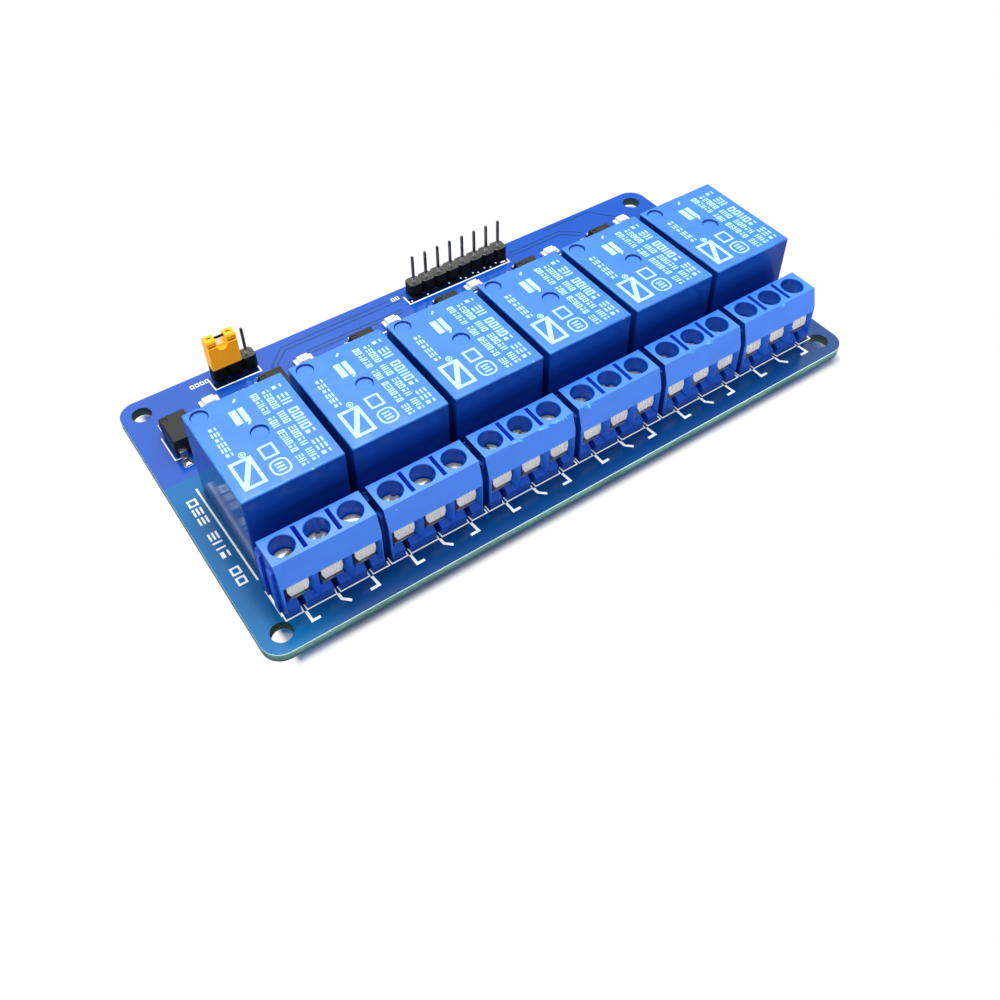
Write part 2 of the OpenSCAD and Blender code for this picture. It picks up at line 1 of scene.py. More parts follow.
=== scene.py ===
"""Looks of a six-channel relay module board.

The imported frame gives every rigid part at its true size. This script gives each part its
finish, adds what is printed, plated, soldered and moulded on it, and sets up the floor, the
light and the camera. Lengths are in metres, and MM turns millimetres into metres.
"""

import math

import bmesh
import bpy
import numpy as np
from mathutils import Matrix, Vector


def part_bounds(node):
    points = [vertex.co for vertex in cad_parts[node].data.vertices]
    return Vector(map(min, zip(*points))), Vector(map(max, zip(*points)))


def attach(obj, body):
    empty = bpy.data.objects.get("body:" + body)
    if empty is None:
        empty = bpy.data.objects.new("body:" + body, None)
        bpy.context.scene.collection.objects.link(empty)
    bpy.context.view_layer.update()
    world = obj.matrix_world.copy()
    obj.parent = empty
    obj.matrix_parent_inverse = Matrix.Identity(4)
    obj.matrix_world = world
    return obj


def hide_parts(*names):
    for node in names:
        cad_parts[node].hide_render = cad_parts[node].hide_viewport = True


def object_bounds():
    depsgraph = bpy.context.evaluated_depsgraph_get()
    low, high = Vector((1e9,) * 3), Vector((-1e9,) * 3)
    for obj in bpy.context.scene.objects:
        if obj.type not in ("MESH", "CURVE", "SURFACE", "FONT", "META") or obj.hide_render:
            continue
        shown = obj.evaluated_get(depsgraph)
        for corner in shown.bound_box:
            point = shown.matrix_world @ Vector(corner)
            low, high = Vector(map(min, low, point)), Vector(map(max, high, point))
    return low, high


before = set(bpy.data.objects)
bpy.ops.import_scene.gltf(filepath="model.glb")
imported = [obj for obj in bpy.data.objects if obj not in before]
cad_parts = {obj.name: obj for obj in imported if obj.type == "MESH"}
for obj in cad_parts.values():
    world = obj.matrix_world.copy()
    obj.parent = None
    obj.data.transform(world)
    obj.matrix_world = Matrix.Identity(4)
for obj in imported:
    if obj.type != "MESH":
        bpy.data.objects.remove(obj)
cad_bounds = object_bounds()

MM = 0.001
CHANNELS = range(1, 7)
POLE_PITCH = 5.08 * MM
PIN_PITCH = 2.54 * MM
INK = 0.015 * MM

board_low, board_high = (np.array(corner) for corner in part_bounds("circuit_board"))
BOARD_TOP = board_high[2]
LEFT_EDGE = board_low[0]


def part_box(node):
    """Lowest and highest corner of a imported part, as arrays."""
    return tuple(np.array(corner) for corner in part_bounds(node))


def part_middle(node):
    return sum(part_box(node)) / 2


# ---------------------------------------------------------------- surfaces


def band_faces(rows, columns, wrap_columns=True, wrap_rows=False):
    """Quads between neighbouring rows of a grid of points, each row holding the same count."""
    row = np.arange(rows if wrap_rows else rows - 1)[:, None]
    column = np.arange(columns if wrap_columns else columns - 1)
    next_row, next_column = (row + 1) % rows, (column + 1) % columns
    quads = [
        row * columns + column,
        row * columns + next_column,
        next_row * columns + next_column,
        next_row * columns + column,
    ]
    return np.stack(np.broadcast_arrays(*quads), -1).reshape(-1, 4).tolist()


def loft(rings, low_cap=True, high_cap=True):
    """Rings of points, anticlockwise from above and rising, joined by quads and closed by caps."""
    rings = np.asarray(rings, float)
    rows, columns = rings.shape[:2]
    faces = band_faces(rows, columns)
    if low_cap:
        faces.append(list(range(columns))[::-1])
    if high_cap:
        faces.append(list(range((rows - 1) * columns, rows * columns)))
    return rings.reshape(-1, 3), faces


def rounded_outline(half_x, half_y, radius, steps=3):
    """Four quarter arcs: each corner's centre plus the radius times cosine and sine."""
    turn = np.arange(4)[:, None] * math.pi / 2 + np.linspace(0, math.pi / 2, steps + 1)
    side_x = np.array([1, -1, -1, 1])[:, None]
    side_y = np.array([1, 1, -1, -1])[:, None]
    x = side_x * (half_x - radius) + radius * np.cos(turn)
    y = side_y * (half_y - radius) + radius * np.sin(turn)
    return np.stack([x, y], -1).reshape(-1, 2)


def circle(radius, steps=32):
    """Cosine and sine of the angle, times the radius."""
    turn = np.linspace(0, 2 * math.pi, steps, endpoint=False)
    return radius * np.stack([np.cos(turn), np.sin(turn)], -1)


def at_height(outline, height):
    return np.column_stack([outline, np.full(len(outline), height)])


def soft_block(low, high, corner, edge):
    """A box with rounded uprights whose top edge is an arc of radius edge: a ring's inset is
    edge times one less the cosine of its turn, and its drop is edge times one less the sine."""
    low, high = np.array(low, float), np.array(high, float)
    middle, half = (low + high) / 2, (high - low) / 2
    turn = np.linspace(0, math.pi / 2, 3)
    insets = [0.0] + list(edge * (1 - np.cos(turn)))
    heights = [low[2]] + list(high[2] - edge * (1 - np.sin(turn)))
    rings = []
    for inset, height in zip(insets, heights):
        radius = max(corner - inset, 0.25 * corner)
        outline = rounded_outline(half[0] - inset, half[1] - inset, radius)
        rings.append(at_height(outline + middle[:2], height))
    return loft(rings)


def eased(path, reach, steps=3):
    """A path whose corners become parabolas that start and end at the reach from the corner."""
    points = [path[0]]
    for before, corner, after in zip(path, path[1:], path[2:]):
        start = corner + (before - corner) * reach / np.linalg.norm(before - corner)
        end = corner + (after - corner) * reach / np.linalg.norm(after - corner)
        share = np.linspace(0, 1, steps + 1)[:, None]
        points += list((1 - share) ** 2 * start + 2 * share * (1 - share) * corner + share ** 2 * end)
    return np.array(points + [path[-1]])


def ribbon(path, width, low, high, closed=False):
    """A flat strip: a rectangle as wide as width, from low to high, carried along a path. At a
    bend it follows the mitre, the sum of both sides' normals over one plus their product."""
    path = np.asarray(path, float)
    ahead = np.roll(path, -1, 0) - path
    behind = path - np.roll(path, 1, 0)
    if not closed:
        ahead[-1], behind[0] = behind[-1], ahead[0]
    ahead /= np.linalg.norm(ahead, axis=1, keepdims=True)
    behind /= np.linalg.norm(behind, axis=1, keepdims=True)
    mitre = (ahead + behind) / (1 + np.sum(ahead * behind, 1, keepdims=True))
    side = np.stack([-mitre[:, 1], mitre[:, 0]], -1) * width / 2
    left, right = path + side, path - side
    sections = np.stack([
        at_height(right, low), at_height(left, low), at_height(left, high), at_height(right, high)
    ], 1)
    faces = band_faces(len(path), 4, wrap_rows=closed)
    if not closed:
        last = 4 * (len(path) - 1)
        faces += [[3, 2, 1, 0], [last, last + 1, last + 2, last + 3]]
    return sections.reshape(-1, 3), faces


def lathe(profile, centre, steps=28):
    """A profile of radius and height, from the lowest to the highest, turned round an axis."""
    rings = [at_height(circle(radius, steps) + centre[:2], centre[2] + height)
             for radius, height in profile]
    return loft(rings)


def pillow(outline, axis, low, high, edge, dome):
    """A convex outline pulled up from low and drawn in towards its middle over the edge; above
    it each point lies below high by the dome times the square of its distance from the axis."""
    middle, axis = outline.mean(0), np.asarray(axis)
    reach = np.linalg.norm(outline - middle, axis=1, keepdims=True)
    farthest = np.linalg.norm(outline - axis, axis=1).max()

    def level(share, inset):
        drawn_in = middle + (outline - middle) * share * (1 - inset / reach)
        away = np.linalg.norm(drawn_in - axis, axis=1) / farthest
        return np.column_stack([drawn_in, high - dome * away ** 2])

    wall = level(1, 0) - np.array([0, 0, edge])
    return loft([at_height(outline, low), wall, level(1, edge), level(0.7, edge), level(0.35, edge)])


class Stock:
    """Points and faces gathered from several surfaces, which become one piece."""

    def __init__(self):
        self.points, self.faces, self.finishes, self.count = [], [], [], 0

    def add(self, surface, centres=((0, 0, 0),), finish=0):
        """Adds the surface once at each centre; finish is one number, or one for each face."""
        points, faces = surface
        for centre in centres:
            self.points.append(points + np.asarray(centre, float))
            self.faces += [[k + self.count for k in face] for face in faces]
            self.finishes += np.broadcast_to(finish, len(faces)).tolist()
            self.count += len(points)
        return self

    def shift(self, offset):
        self.points = [points + np.asarray(offset, float) for points in self.points]
        return self

    def piece(self, name, material, slot, nodes=(), smooth=True, weld=False):
        """Makes the mesh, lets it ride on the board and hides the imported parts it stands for."""
        mesh = bpy.data.meshes.new(name)
        mesh.from_pydata(np.concatenate(self.points).tolist(), [], self.faces)
        mesh.polygons.foreach_set("material_index", self.finishes)
        if weld:
            join_points(mesh)
        mesh.update()
        return finish_piece(name, mesh, material, nodes, smooth)


class Print(Stock):
    """Flat marks between two heights, given by their middle lines and widths in millimetres."""

    def __init__(self, low, high):
        super().__init__()
        self.low, self.high = low, high

    def draw(self, width, *paths, closed=False, sunk=0.0):
        """Adds each path as a strip whose top lies below the others by the sunk height."""
        for path in paths:
            self.add(ribbon(np.array(path) * MM, width * MM, self.low, self.high - sunk, closed))

    def row(self, x, start, end, height, groups, stroke):
        """A printed line along Y as plain marks picked by a seeded choice: frames, pairs of bars,
        stacks of dashes and blocks, with a gap between groups."""
        pitch = (end - start) / (sum(groups) + 0.8 * (len(groups) - 1))
        half, y = (height - stroke) / 2, start
        rng = np.random.default_rng(len(groups) + sum(groups))
        for count in groups:
            for _ in range(count):
                near, far = y + 0.12 * pitch + stroke / 2, y + 0.88 * pitch - stroke / 2
                pick = rng.integers(4)
                if pick == 0:
                    self.draw(stroke, [(x - half, near), (x + half, near), (x + half, far),
                                       (x - half, far)], closed=True)
                elif pick == 1:
                    self.draw(stroke, *([(x - height / 2, place), (x + height / 2, place)]
                                        for place in (near, far)))
                elif pick == 2:
                    self.draw(stroke, *([(x + shift, near - stroke / 2),
                                         (x + shift, far + stroke / 2)]
                                        for shift in (-half, 0.0, half)))
                else:
                    self.draw(half, [(x - half / 2, near), (x - half / 2, far)])
                    self.draw(stroke, [(x + half, near), (x + half, far)])
                y += pitch
            y += 0.8 * pitch


def join_points(mesh, reach=1e-7, flat=None):
    """Merges points that lie within reach, and joins faces into whole ones where their
    directions differ by less than the flat angle."""
    work = bmesh.new()
    work.from_mesh(mesh)
    bmesh.ops.remove_doubles(work, verts=work.verts, dist=reach)
    if flat:
        bmesh.ops.dissolve_limit(work, angle_limit=flat, verts=work.verts, edges=work.edges)
    work.to_mesh(mesh)
    work.free()


def even_normals(piece):
    """Weighs the normals by area, so that large faces stay flat beside rounded edges."""
    even = piece.modifiers.new("even_normals", "WEIGHTED_NORMAL")
    even.weight = 100
    even.keep_sharp = True


def placed(name, data):
    """An object of the scene that holds the data."""
    body = bpy.data.objects.new(name, data)
    bpy.context.scene.collection.objects.link(body)
    return body


def finish_piece(name, mesh, material, nodes=(), smooth=True):
    """Gives the mesh its finish and its place in the frame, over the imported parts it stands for."""
    piece = placed(name, mesh)
    for entry in material if isinstance(material, (list, tuple)) else [material]:
        mesh.materials.append(entry)
    if smooth:
        mesh.shade_smooth()
        even_normals(piece)
    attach(piece, "root")
    if nodes:
        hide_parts(*nodes)
    return piece


def soften_edges(piece, radius, finish=-1):
    """Rounds the sharp edges. The rounded strips take the finish with that number, or that of
    the faces beside them."""
    bevel = piece.modifiers.new("soft_edges", "BEVEL")
    bevel.width, bevel.segments = radius, 2
    bevel.limit_method, bevel.angle_limit = "ANGLE", math.radians(35)
    bevel.use_clamp_overlap = True
    bevel.miter_outer = "MITER_ARC"
    bevel.material = finish
    even_normals(piece)


def softened(node, pattern, name, radius, materials, sort=None):
    """The pattern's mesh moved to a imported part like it, with its triangles joined into whole
    faces and its edges rounded. Sort gives the number of the finish of a face from its middle
    and its normal."""
    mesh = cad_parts[pattern].data.copy()
    mesh.materials.clear()
    join_points(mesh, reach=2e-6, flat=math.radians(0.5))
    mesh.transform(Matrix.Translation(part_middle(node) - part_middle(pattern)))
    if sort:
        for face in mesh.polygons:
            face.material_index = sort(np.array(face.center), np.array(face.normal))
    piece = finish_piece(name, mesh, materials, [node], smooth=False)
    mesh.shade_smooth()
    soften_edges(piece, radius)


# ---------------------------------------------------------------- finishes


class Nodes:
    """Short names for building a tree of shader nodes."""

    def __init__(self, tree):
        self.tree = tree

    def fill(self, sockets, values):
        """Links each socket from another one, or sets it to a number or a colour."""
        for name, value in values.items():
            if isinstance(value, bpy.types.NodeSocket):
                self.tree.links.new(value, sockets[name])
            else:
                colour = sockets[name].type == "RGBA"
                sockets[name].default_value = (*value, 1.0) if colour else value

    def add(self, kind, inputs=None, **settings):
        """A node with its settings; inputs are values, colours or sockets to link from."""
        node = self.tree.nodes.new(kind)
        for name, value in settings.items():
            setattr(node, name, value)
        self.fill(node.inputs, inputs or {})
        return node

    def place(self):
        """Where a point lies in the piece's own coordinates."""
        return self.add("ShaderNodeTexCoord").outputs["Object"]

    def stretched(self, place, scale, turn=0.0):
        """The place turned about Z and scaled along each axis."""
        return self.add("ShaderNodeMapping", {
            "Vector": place, "Rotation": (0.0, 0.0, turn), "Scale": scale
        }).outputs["Vector"]

    def axes(self, place):
        return self.add("ShaderNodeSeparateXYZ", {"Vector": place}).outputs

    def length(self, x, y):
        """The distance that lies x along one axis and y along the other."""
        offset = self.add("ShaderNodeCombineXYZ", {"X": x, "Y": y}).outputs["Vector"]
        return self.add("ShaderNodeVectorMath", {0: offset}, operation="LENGTH").outputs["Value"]

    def noise(self, place, scale, detail=3.0):
        return self.add("ShaderNodeTexNoise", {
            "Vector": place, "Scale": scale, "Detail": detail, "Roughness": 0.55
        }).outputs["Fac"]

    def ramp(self, value, start, end, low=0.0, high=1.0):
        """The value spread from start and end onto low and high, held at both ends."""
        return self.add("ShaderNodeMapRange", {
            "Value": value, "From Min": start, "From Max": end, "To Min": low, "To Max": high
        }).outputs["Result"]

    def maths(self, operation, first, second=0.5):
        """One step of arithmetic; a step that takes a single value leaves the second unused."""
        return self.add("ShaderNodeMath", {0: first, 1: second}, operation=operation).outputs[0]

    def plus(self, first, second):
        return self.maths("ADD", first, second)

    def minus(self, first, second):
        return self.maths("SUBTRACT", first, second)

    def times(self, first, second):
        return self.maths("MULTIPLY", first, second)

    def mix(self, share, first, second):
        """One colour turned into the other by the share."""
        return self.add("ShaderNodeMix", {0: share, 6: first, 7: second},
                        data_type="RGBA").outputs[2]

    def group(self, tree, **values):
        """A group's outputs, with its inputs named in words joined by underscores."""
        inputs = {label.replace("_", " "): value for label, value in values.items()}
        return self.add("ShaderNodeGroup", inputs, node_tree=tree).outputs


def new_group(name, inputs, outputs):
    """A shader node group whose inputs are colours or numbers with a first value. Returns its
    nodes, the sockets that bring its inputs and the sockets that take its outputs."""
    tree = bpy.data.node_groups.new(name, "ShaderNodeTree")
    for label, value in inputs.items():
        colour = isinstance(value, tuple)
        socket = tree.interface.new_socket(
            label, in_out="INPUT", socket_type="NodeSocketColor" if colour else "NodeSocketFloat")
        socket.default_value = (*value, 1.0) if colour else value
    for label in outputs:
        kind = "NodeSocketColor" if label == "Color" else "NodeSocketFloat"
        tree.interface.new_socket(label, in_out="OUTPUT", socket_type=kind)
    n = Nodes(tree)
    return n, n.add("NodeGroupInput").outputs, n.add("NodeGroupOutput").inputs


def make_moulded_skin():
    """Moulded plastic: slow clouds of a second tint, a fine grain and an uneven polish."""
    n, get, put = new_group("moulded_skin", {
        "Tint": (0.5, 0.5, 0.5), "Second Tint": (0.4, 0.4, 0.4), "Cloud Scale": 250.0,
        "Grain Scale": 6000.0, "Polish": 0.4, "Polish Swing": 0.08,
    }, ("Color", "Roughness", "Height"))
    place = n.place()
    cloud = n.noise(place, get["Cloud Scale"], 4.0)
    grain = n.noise(place, get["Grain Scale"], 2.0)
    uneven = n.times(n.ramp(cloud, 0.3, 0.7, -1.0, 1.0), get["Polish Swing"])
    n.fill(put, {
        "Color": n.mix(n.ramp(cloud, 0.35, 0.68), get["Tint"], get["Second Tint"]),
        "Roughness": n.plus(get["Polish"], uneven),
        "Height": n.plus(n.times(cloud, 0.6), grain),
    })
    return n.tree


def make_specks():
    """Dust and pinholes: round spots about some of the points of a cell pattern."""
    n, get, put = new_group("specks", {"Scale": 400.0, "Share": 0.1, "Size": 0.12}, ("Mask",))
    cells = n.add("ShaderNodeTexVoronoi", {"Vector": n.place(), "Scale": get["Scale"]}).outputs
    near = n.maths("LESS_THAN", cells["Distance"], get["Size"])
    pick = n.add("ShaderNodeSeparateColor", {"Color": cells["Color"]}).outputs[0]
    n.fill(put, {"Mask": n.times(near, n.maths("LESS_THAN", pick, get["Share"]))})
    return n.tree


def make_scuffs():
    """Fine rubbed lines: noise drawn out along one direction and cut off near its peaks."""
    n, get, put = new_group("scuffs", {"Scale": 900.0, "Amount": 0.3}, ("Mask",))
    place = n.place()
    drawn = n.stretched(place, (0.06, 1.0, 1.0), turn=0.5)
    rubbed = n.ramp(n.noise(drawn, get["Scale"]), 0.62, 0.74)
    patches = n.ramp(n.noise(place, 120.0, 2.0), 0.45, 0.65)
    n.fill(put, {"Mask": n.times(n.times(rubbed, patches), get["Amount"])})
    return n.tree


def make_drawn_metal():
    """Sheet and wire: streaks along Z, blotches of tarnish and small dents."""
    n, get, put = new_group("drawn_metal", {
        "Tint": (0.7, 0.7, 0.7), "Tarnish": (0.3, 0.28, 0.25), "Tarnish Amount": 0.3,
        "Polish": 0.3, "Streak Scale": 3000.0, "Blotch Scale": 700.0,
    }, ("Color", "Roughness", "Height"))
    place = n.place()
    streaks = n.noise(n.stretched(place, (1.0, 1.0, 0.08)), get["Streak Scale"])
    blotches = n.noise(place, get["Blotch Scale"], 4.0)
    dull = n.times(n.ramp(blotches, 0.4, 0.75), get["Tarnish Amount"])
    rough = n.plus(get["Polish"], n.ramp(streaks, 0.3, 0.7, -0.08, 0.12))
    n.fill(put, {
        "Color": n.mix(dull, get["Tint"], get["Tarnish"]),
        "Roughness": n.plus(rough, n.times(dull, 0.3)),
        "Height": n.plus(n.times(streaks, 0.5), blotches),
    })
    return n.tree


MOULDED_SKIN = make_moulded_skin()
SPECKS = make_specks()
SCUFFS = make_scuffs()
DRAWN_METAL = make_drawn_metal()


def empty_tree(owner):
    """The nodes of a material or a world, with none in it yet."""
    owner.use_nodes = True
    owner.node_tree.nodes.clear()
    return Nodes(owner.node_tree)


def start_material(name):
    material = bpy.data.materials.new(name)
    return material, empty_tree(material)


def close_material(n, own, colour, rough, height, relief):
    """The one Principled shader: plain numbers on its own sockets, the rest linked to it."""
    bump = n.add("ShaderNodeBump", {"Height": height, "Strength": relief, "Distance": 0.02 * MM})
    shader = n.add("ShaderNodeBsdfPrincipled", {
        **own, "Base Color": colour, "Roughness": rough, "Normal": bump.outputs["Normal"]})
    n.add("ShaderNodeOutputMaterial", {"Surface": shader.outputs["BSDF"]})


def plastic(name, tint, second, polish, swing=0.06, grain=6000.0, relief=0.25, spots=None,
            scuffs=0.0, pale=None, shine=0.5, glow=None, milk=0.0):
    """Moulded plastic. Spots of some scale, share and size, and scuffs, are strewn over it in
    the pale tint. A glow is painted light, an emission on a part that is no lamp: it stands in
    for light coming through thin plastic, and it lifts bright ink."""
    material, n = start_material(name)
    skin = n.group(MOULDED_SKIN, Tint=tint, Second_Tint=second, Polish=polish,
                   Polish_Swing=swing, Grain_Scale=grain)
    colour = skin["Color"]
    if spots:
        mask = n.group(SPECKS, Scale=spots[0], Share=spots[1], Size=spots[2])["Mask"]
        colour = n.mix(mask, colour, pale)
    if scuffs:
        colour = n.mix(n.group(SCUFFS, Amount=scuffs)["Mask"], colour, pale)
    own = {"Specular IOR Level": shine}
    if glow:
        own.update({"Emission Color": glow[:3], "Emission Strength": glow[3]})
    if milk:
        own.update({"Subsurface Weight": milk, "Subsurface Scale": 0.8 * MM})
    close_material(n, own, colour, skin["Roughness"], skin["Height"], relief)
    return material


def metal(name, tint, tarnish, amount, polish, relief=0.2, mirror=1.0):
    """Bare metal with streaks and tarnish. The less it mirrors, the more it looks brushed."""
    material, n = start_material(name)
    skin = n.group(DRAWN_METAL, Tint=tint, Tarnish=tarnish, Tarnish_Amount=amount, Polish=polish)
    close_material(n, {"Metallic": mirror}, skin["Color"], skin["Roughness"], skin["Height"],
                   relief)
    return material


MASK_OVER_COPPER = (0.004, 0.085, 0.48)
MASK_OVER_GLASS = (0.002, 0.052, 0.20)
GLASS_SHADE = (0.03, 0.09, 0.09)
POUR_EDGE = 7.6 * MM
HOLE_PLACE = board_high[:2] - 3.3 * MM
HOLE_REACH = 2.0 * MM


def mask_material(name, tint):
    """A patch of solder mask: a glossy blue lacquer."""
    material, n = start_material(name)
    second = tuple(0.82 * part for part in tint)
    skin = n.group(MOULDED_SKIN, Tint=tint, Second_Tint=second, Polish=0.16, Polish_Swing=0.05,
                   Cloud_Scale=90.0, Grain_Scale=2500.0)
    close_material(n, {"Specular IOR Level": 0.18}, skin["Color"], skin["Roughness"],
                   skin["Height"], 0.12)
    return material


def board_material():
    """The bare board: lacquer on both faces, darker in front of the copper's edge and greener
    and lighter at the left end there, a painted pool of light, and pale green glass-fibre layers
    on the sides, with a painted highlight along their top rim, darker towards the bottom. The
    walls of the screw holes are painted nearly black: painted shade inside the holes."""
    material, n = start_material("board_lacquer_and_glass")
    place = n.place()
    axes = n.axes(place)
    cloud = n.noise(place, 90.0, 4.0)
    wander = n.ramp(n.noise(place, 220.0, 2.0), 0.3, 0.7, -0.12 * MM, 0.12 * MM)
    behind = n.maths("GREATER_THAN", n.plus(axes["Y"], wander), POUR_EDGE)
    lacquer = n.mix(behind, MASK_OVER_GLASS, MASK_OVER_COPPER)
    lacquer = n.mix(n.ramp(cloud, 0.3, 0.75, 0.0, 0.3), lacquer, (0.001, 0.03, 0.2))
    # Painted light: the lacquer at the left end, in front of the copper, is lifted to a lighter
    # green-blue.
    painted_left_light = n.ramp(axes["X"], LEFT_EDGE + 4 * MM, LEFT_EDGE + 13 * MM, 1.0, 0.0)
    lacquer = n.mix(n.times(painted_left_light, n.minus(1.0, behind)), lacquer, (0.003, 0.15, 0.40))
    dust = n.group(SPECKS, Scale=330.0, Share=0.05, Size=0.06)["Mask"]
    lacquer = n.mix(dust, lacquer, (0.3, 0.55, 0.65))

    middle = (board_low[2] + board_high[2]) / 2
    half = (board_high[2] - board_low[2]) / 2
    weave = n.noise(n.stretched(place, (1.0, 1.0, 9.0)), 1300.0)
    stain = n.ramp(n.noise(place, 70.0), 0.45, 0.7, 0.0, 0.6)
    foot = n.ramp(axes["Z"], middle - 0.9 * half, middle + 0.3 * half, 0.9, 0.0)
    lip = n.ramp(axes["Z"], middle + 0.60 * half, middle + 0.80 * half, 0.0, 0.9)
    # The near-black tint on the walls of the screw holes, at in_hole, is painted shade inside the
    # holes.
    across = [n.minus(n.maths("ABSOLUTE", axes[axis]), HOLE_PLACE[k])
              for k, axis in enumerate("XY")]
    in_hole = n.maths("LESS_THAN", n.length(*across), HOLE_REACH)
    glass = n.mix(n.ramp(weave, 0.35, 0.65), (0.08, 0.18, 0.17), (0.26, 0.46, 0.45))
    # The lip's pale tint along the top rim of the sides is a painted highlight; the foot makes the
    # glass darker towards the bottom.
    for share, tint in ((stain, GLASS_SHADE), (foot, GLASS_SHADE), (lip, (0.60, 0.92, 0.86)),
                        (in_hole, (0.05, 0.08, 0.075))):
        glass = n.mix(share, glass, tint)

    off_middle = n.maths("ABSOLUTE", n.minus(axes["Z"], middle))
    face = n.maths("GREATER_THAN", off_middle, half - 0.004 * MM)
    sheen = n.times(n.plus(0.18, n.times(behind, 0.08)), face)
    close_material(n, {"Specular IOR Level": sheen}, n.mix(face, glass, lacquer),
                   n.ramp(face, 0.0, 1.0, 0.55, 0.16), n.plus(cloud, n.times(weave, 0.3)), 0.12)
    return material


def pin_material():
    """Header wire, dark and dull along its length, with a near-white band of painted highlight
    where it leaves the housing.
    """
    material, n = start_material("header_wire")
    skin = n.group(DRAWN_METAL, Tint=(0.17, 0.165, 0.15), Tarnish=(0.010, 0.010, 0.009),
                   Tarnish_Amount=1.0, Polish=0.34, Streak_Scale=5000.0, Blotch_Scale=420.0)
    housing_top = BOARD_TOP + PIN_PITCH
    # bright: a near-white painted highlight on the wire just above the housing.
    bright = n.ramp(n.axes(n.place())["Z"], housing_top + 0.3 * MM, housing_top + 0.9 * MM,
                    1.0, 0.0)
    close_material(n, {"Metallic": 0.1, "Specular IOR Level": 0.3},
                   n.mix(bright, skin["Color"], (1.0, 1.0, 0.95)), skin["Roughness"],
                   skin["Height"], 0.2)
    return material


RELAY_PALE = (0.25, 0.5, 0.9)
# Relay top and sides are one plastic in two copies: the top's lighter tint is painted light and the
# sides' darker tint is painted shade.
RELAY_TOP = plastic(
    "relay_top", (0.030, 0.20, 0.68), (0.024, 0.175, 0.60), 0.40, grain=7000.0,
    spots=(240.0, 0.05, 0.05), scuffs=0.18, pale=RELAY_PALE, shine=0.4)
RELAY_SIDE_SHADED = plastic(
    "relay_side_painted_shade", (0.007, 0.060, 0.36), (0.006, 0.052, 0.32), 0.14, swing=0.03, relief=0.04,
    scuffs=0.06, pale=RELAY_PALE, shine=0.18)
# The rounded top edges take a paler tint: partly wear, with its pale specks, and partly a painted
# highlight.
RELAY_EDGE = plastic(
    "relay_edge_highlight_and_wear", (0.05, 0.30, 0.88), (0.012, 0.15, 0.66), 0.34, grain=9000.0,
    spots=(900.0, 0.25, 0.2), pale=(0.25, 0.6, 0.98))
RELAY_BASE = plastic("relay_base_blue", (0.008, 0.07, 0.35), (0.006, 0.055, 0.28), 0.5)
RELAY_INK = plastic(
    "relay_ink", (0.50, 0.90, 0.92), (0.42, 0.84, 0.88), 0.5, grain=9000.0,
    spots=(1500.0, 0.12, 0.2), pale=(0.2, 0.5, 0.85))
# Terminal plastic in one lit and three shaded copies: the side, well and gap tints are painted shade
# on ends, ribs, slots, sills, wells and the gaps between blocks.
TERMINAL_BLUE = plastic(
    "terminal_blue", (0.032, 0.225, 0.98), (0.025, 0.205, 0.92), 0.36, grain=5000.0,
    spots=(300.0, 0.08, 0.05), scuffs=0.2, pale=(0.22, 0.48, 0.95))
TERMINAL_SIDE_SHADE = plastic(
    "terminal_side_painted_shade", (0.010, 0.115, 0.68), (0.008, 0.095, 0.62), 0.42, grain=5000.0,
    scuffs=0.2, pale=(0.15, 0.36, 0.90), shine=0.25)
TERMINAL_WELL_SHADE = plastic(
    "terminal_well_painted_shade", (0.004, 0.16, 0.74), (0.003, 0.13, 0.64), 0.28, relief=0.1, shine=0.25)
TERMINAL_GAP_SHADE = plastic(
    "terminal_gap_painted_shade", (0.006, 0.060, 0.36), (0.005, 0.048, 0.30), 0.6, shine=0.12)
TERMINAL_FLASH = plastic(
    "terminal_flash", (0.30, 0.72, 0.98), (0.14, 0.52, 0.95), 0.4, grain=8000.0)
HEADER_BLACK = plastic(
    "header_black", (0.006, 0.006, 0.007), (0.010, 0.010, 0.010), 0.45, grain=5000.0,
    scuffs=0.2, pale=(0.06, 0.06, 0.06), shine=0.12)
# The header's top finish is a lighter copy of its black plastic: painted light on the tops of the
# cells.
HEADER_TOP_LIT = plastic(
    "header_top_painted_light", (0.040, 0.040, 0.038), (0.055, 0.055, 0.05), 0.42, grain=5000.0,
    spots=(1400.0, 0.1, 0.15), pale=(0.14, 0.14, 0.13), shine=0.4)
# The amber cap glows though it is no lamp: painted light. The edge finish is a paler painted
# highlight on its rounded edges, and the shade finish is painted shade that glows a little too.
JUMPER_AMBER = plastic(
    "jumper_amber", (0.92, 0.40, 0.006), (0.88, 0.36, 0.004), 0.32, grain=4000.0,
    scuffs=0.1, pale=(1.0, 0.6, 0.10), shine=0.2, glow=(1.0, 0.36, 0.002, 0.45))
JUMPER_EDGE = plastic(
    "jumper_edge_highlight", (1.0, 0.60, 0.04), (0.98, 0.56, 0.03), 0.34, shine=0.2,
    glow=(1.0, 0.46, 0.02, 0.45))
JUMPER_SHADE = plastic(
    "jumper_shade", (0.45, 0.12, 0.004), (0.40, 0.10, 0.003), 0.5, shine=0.2,
    glow=(0.8, 0.22, 0.003, 0.25))
# The clip face glows though it is no lamp: painted light in the shaded notch.
CLIP_FACE_GLOWING = plastic(
    "clip_face", (0.98, 0.90, 0.70), (0.92, 0.80, 0.58), 0.3, shine=0.2,
    glow=(1.0, 0.86, 0.6, 0.45))
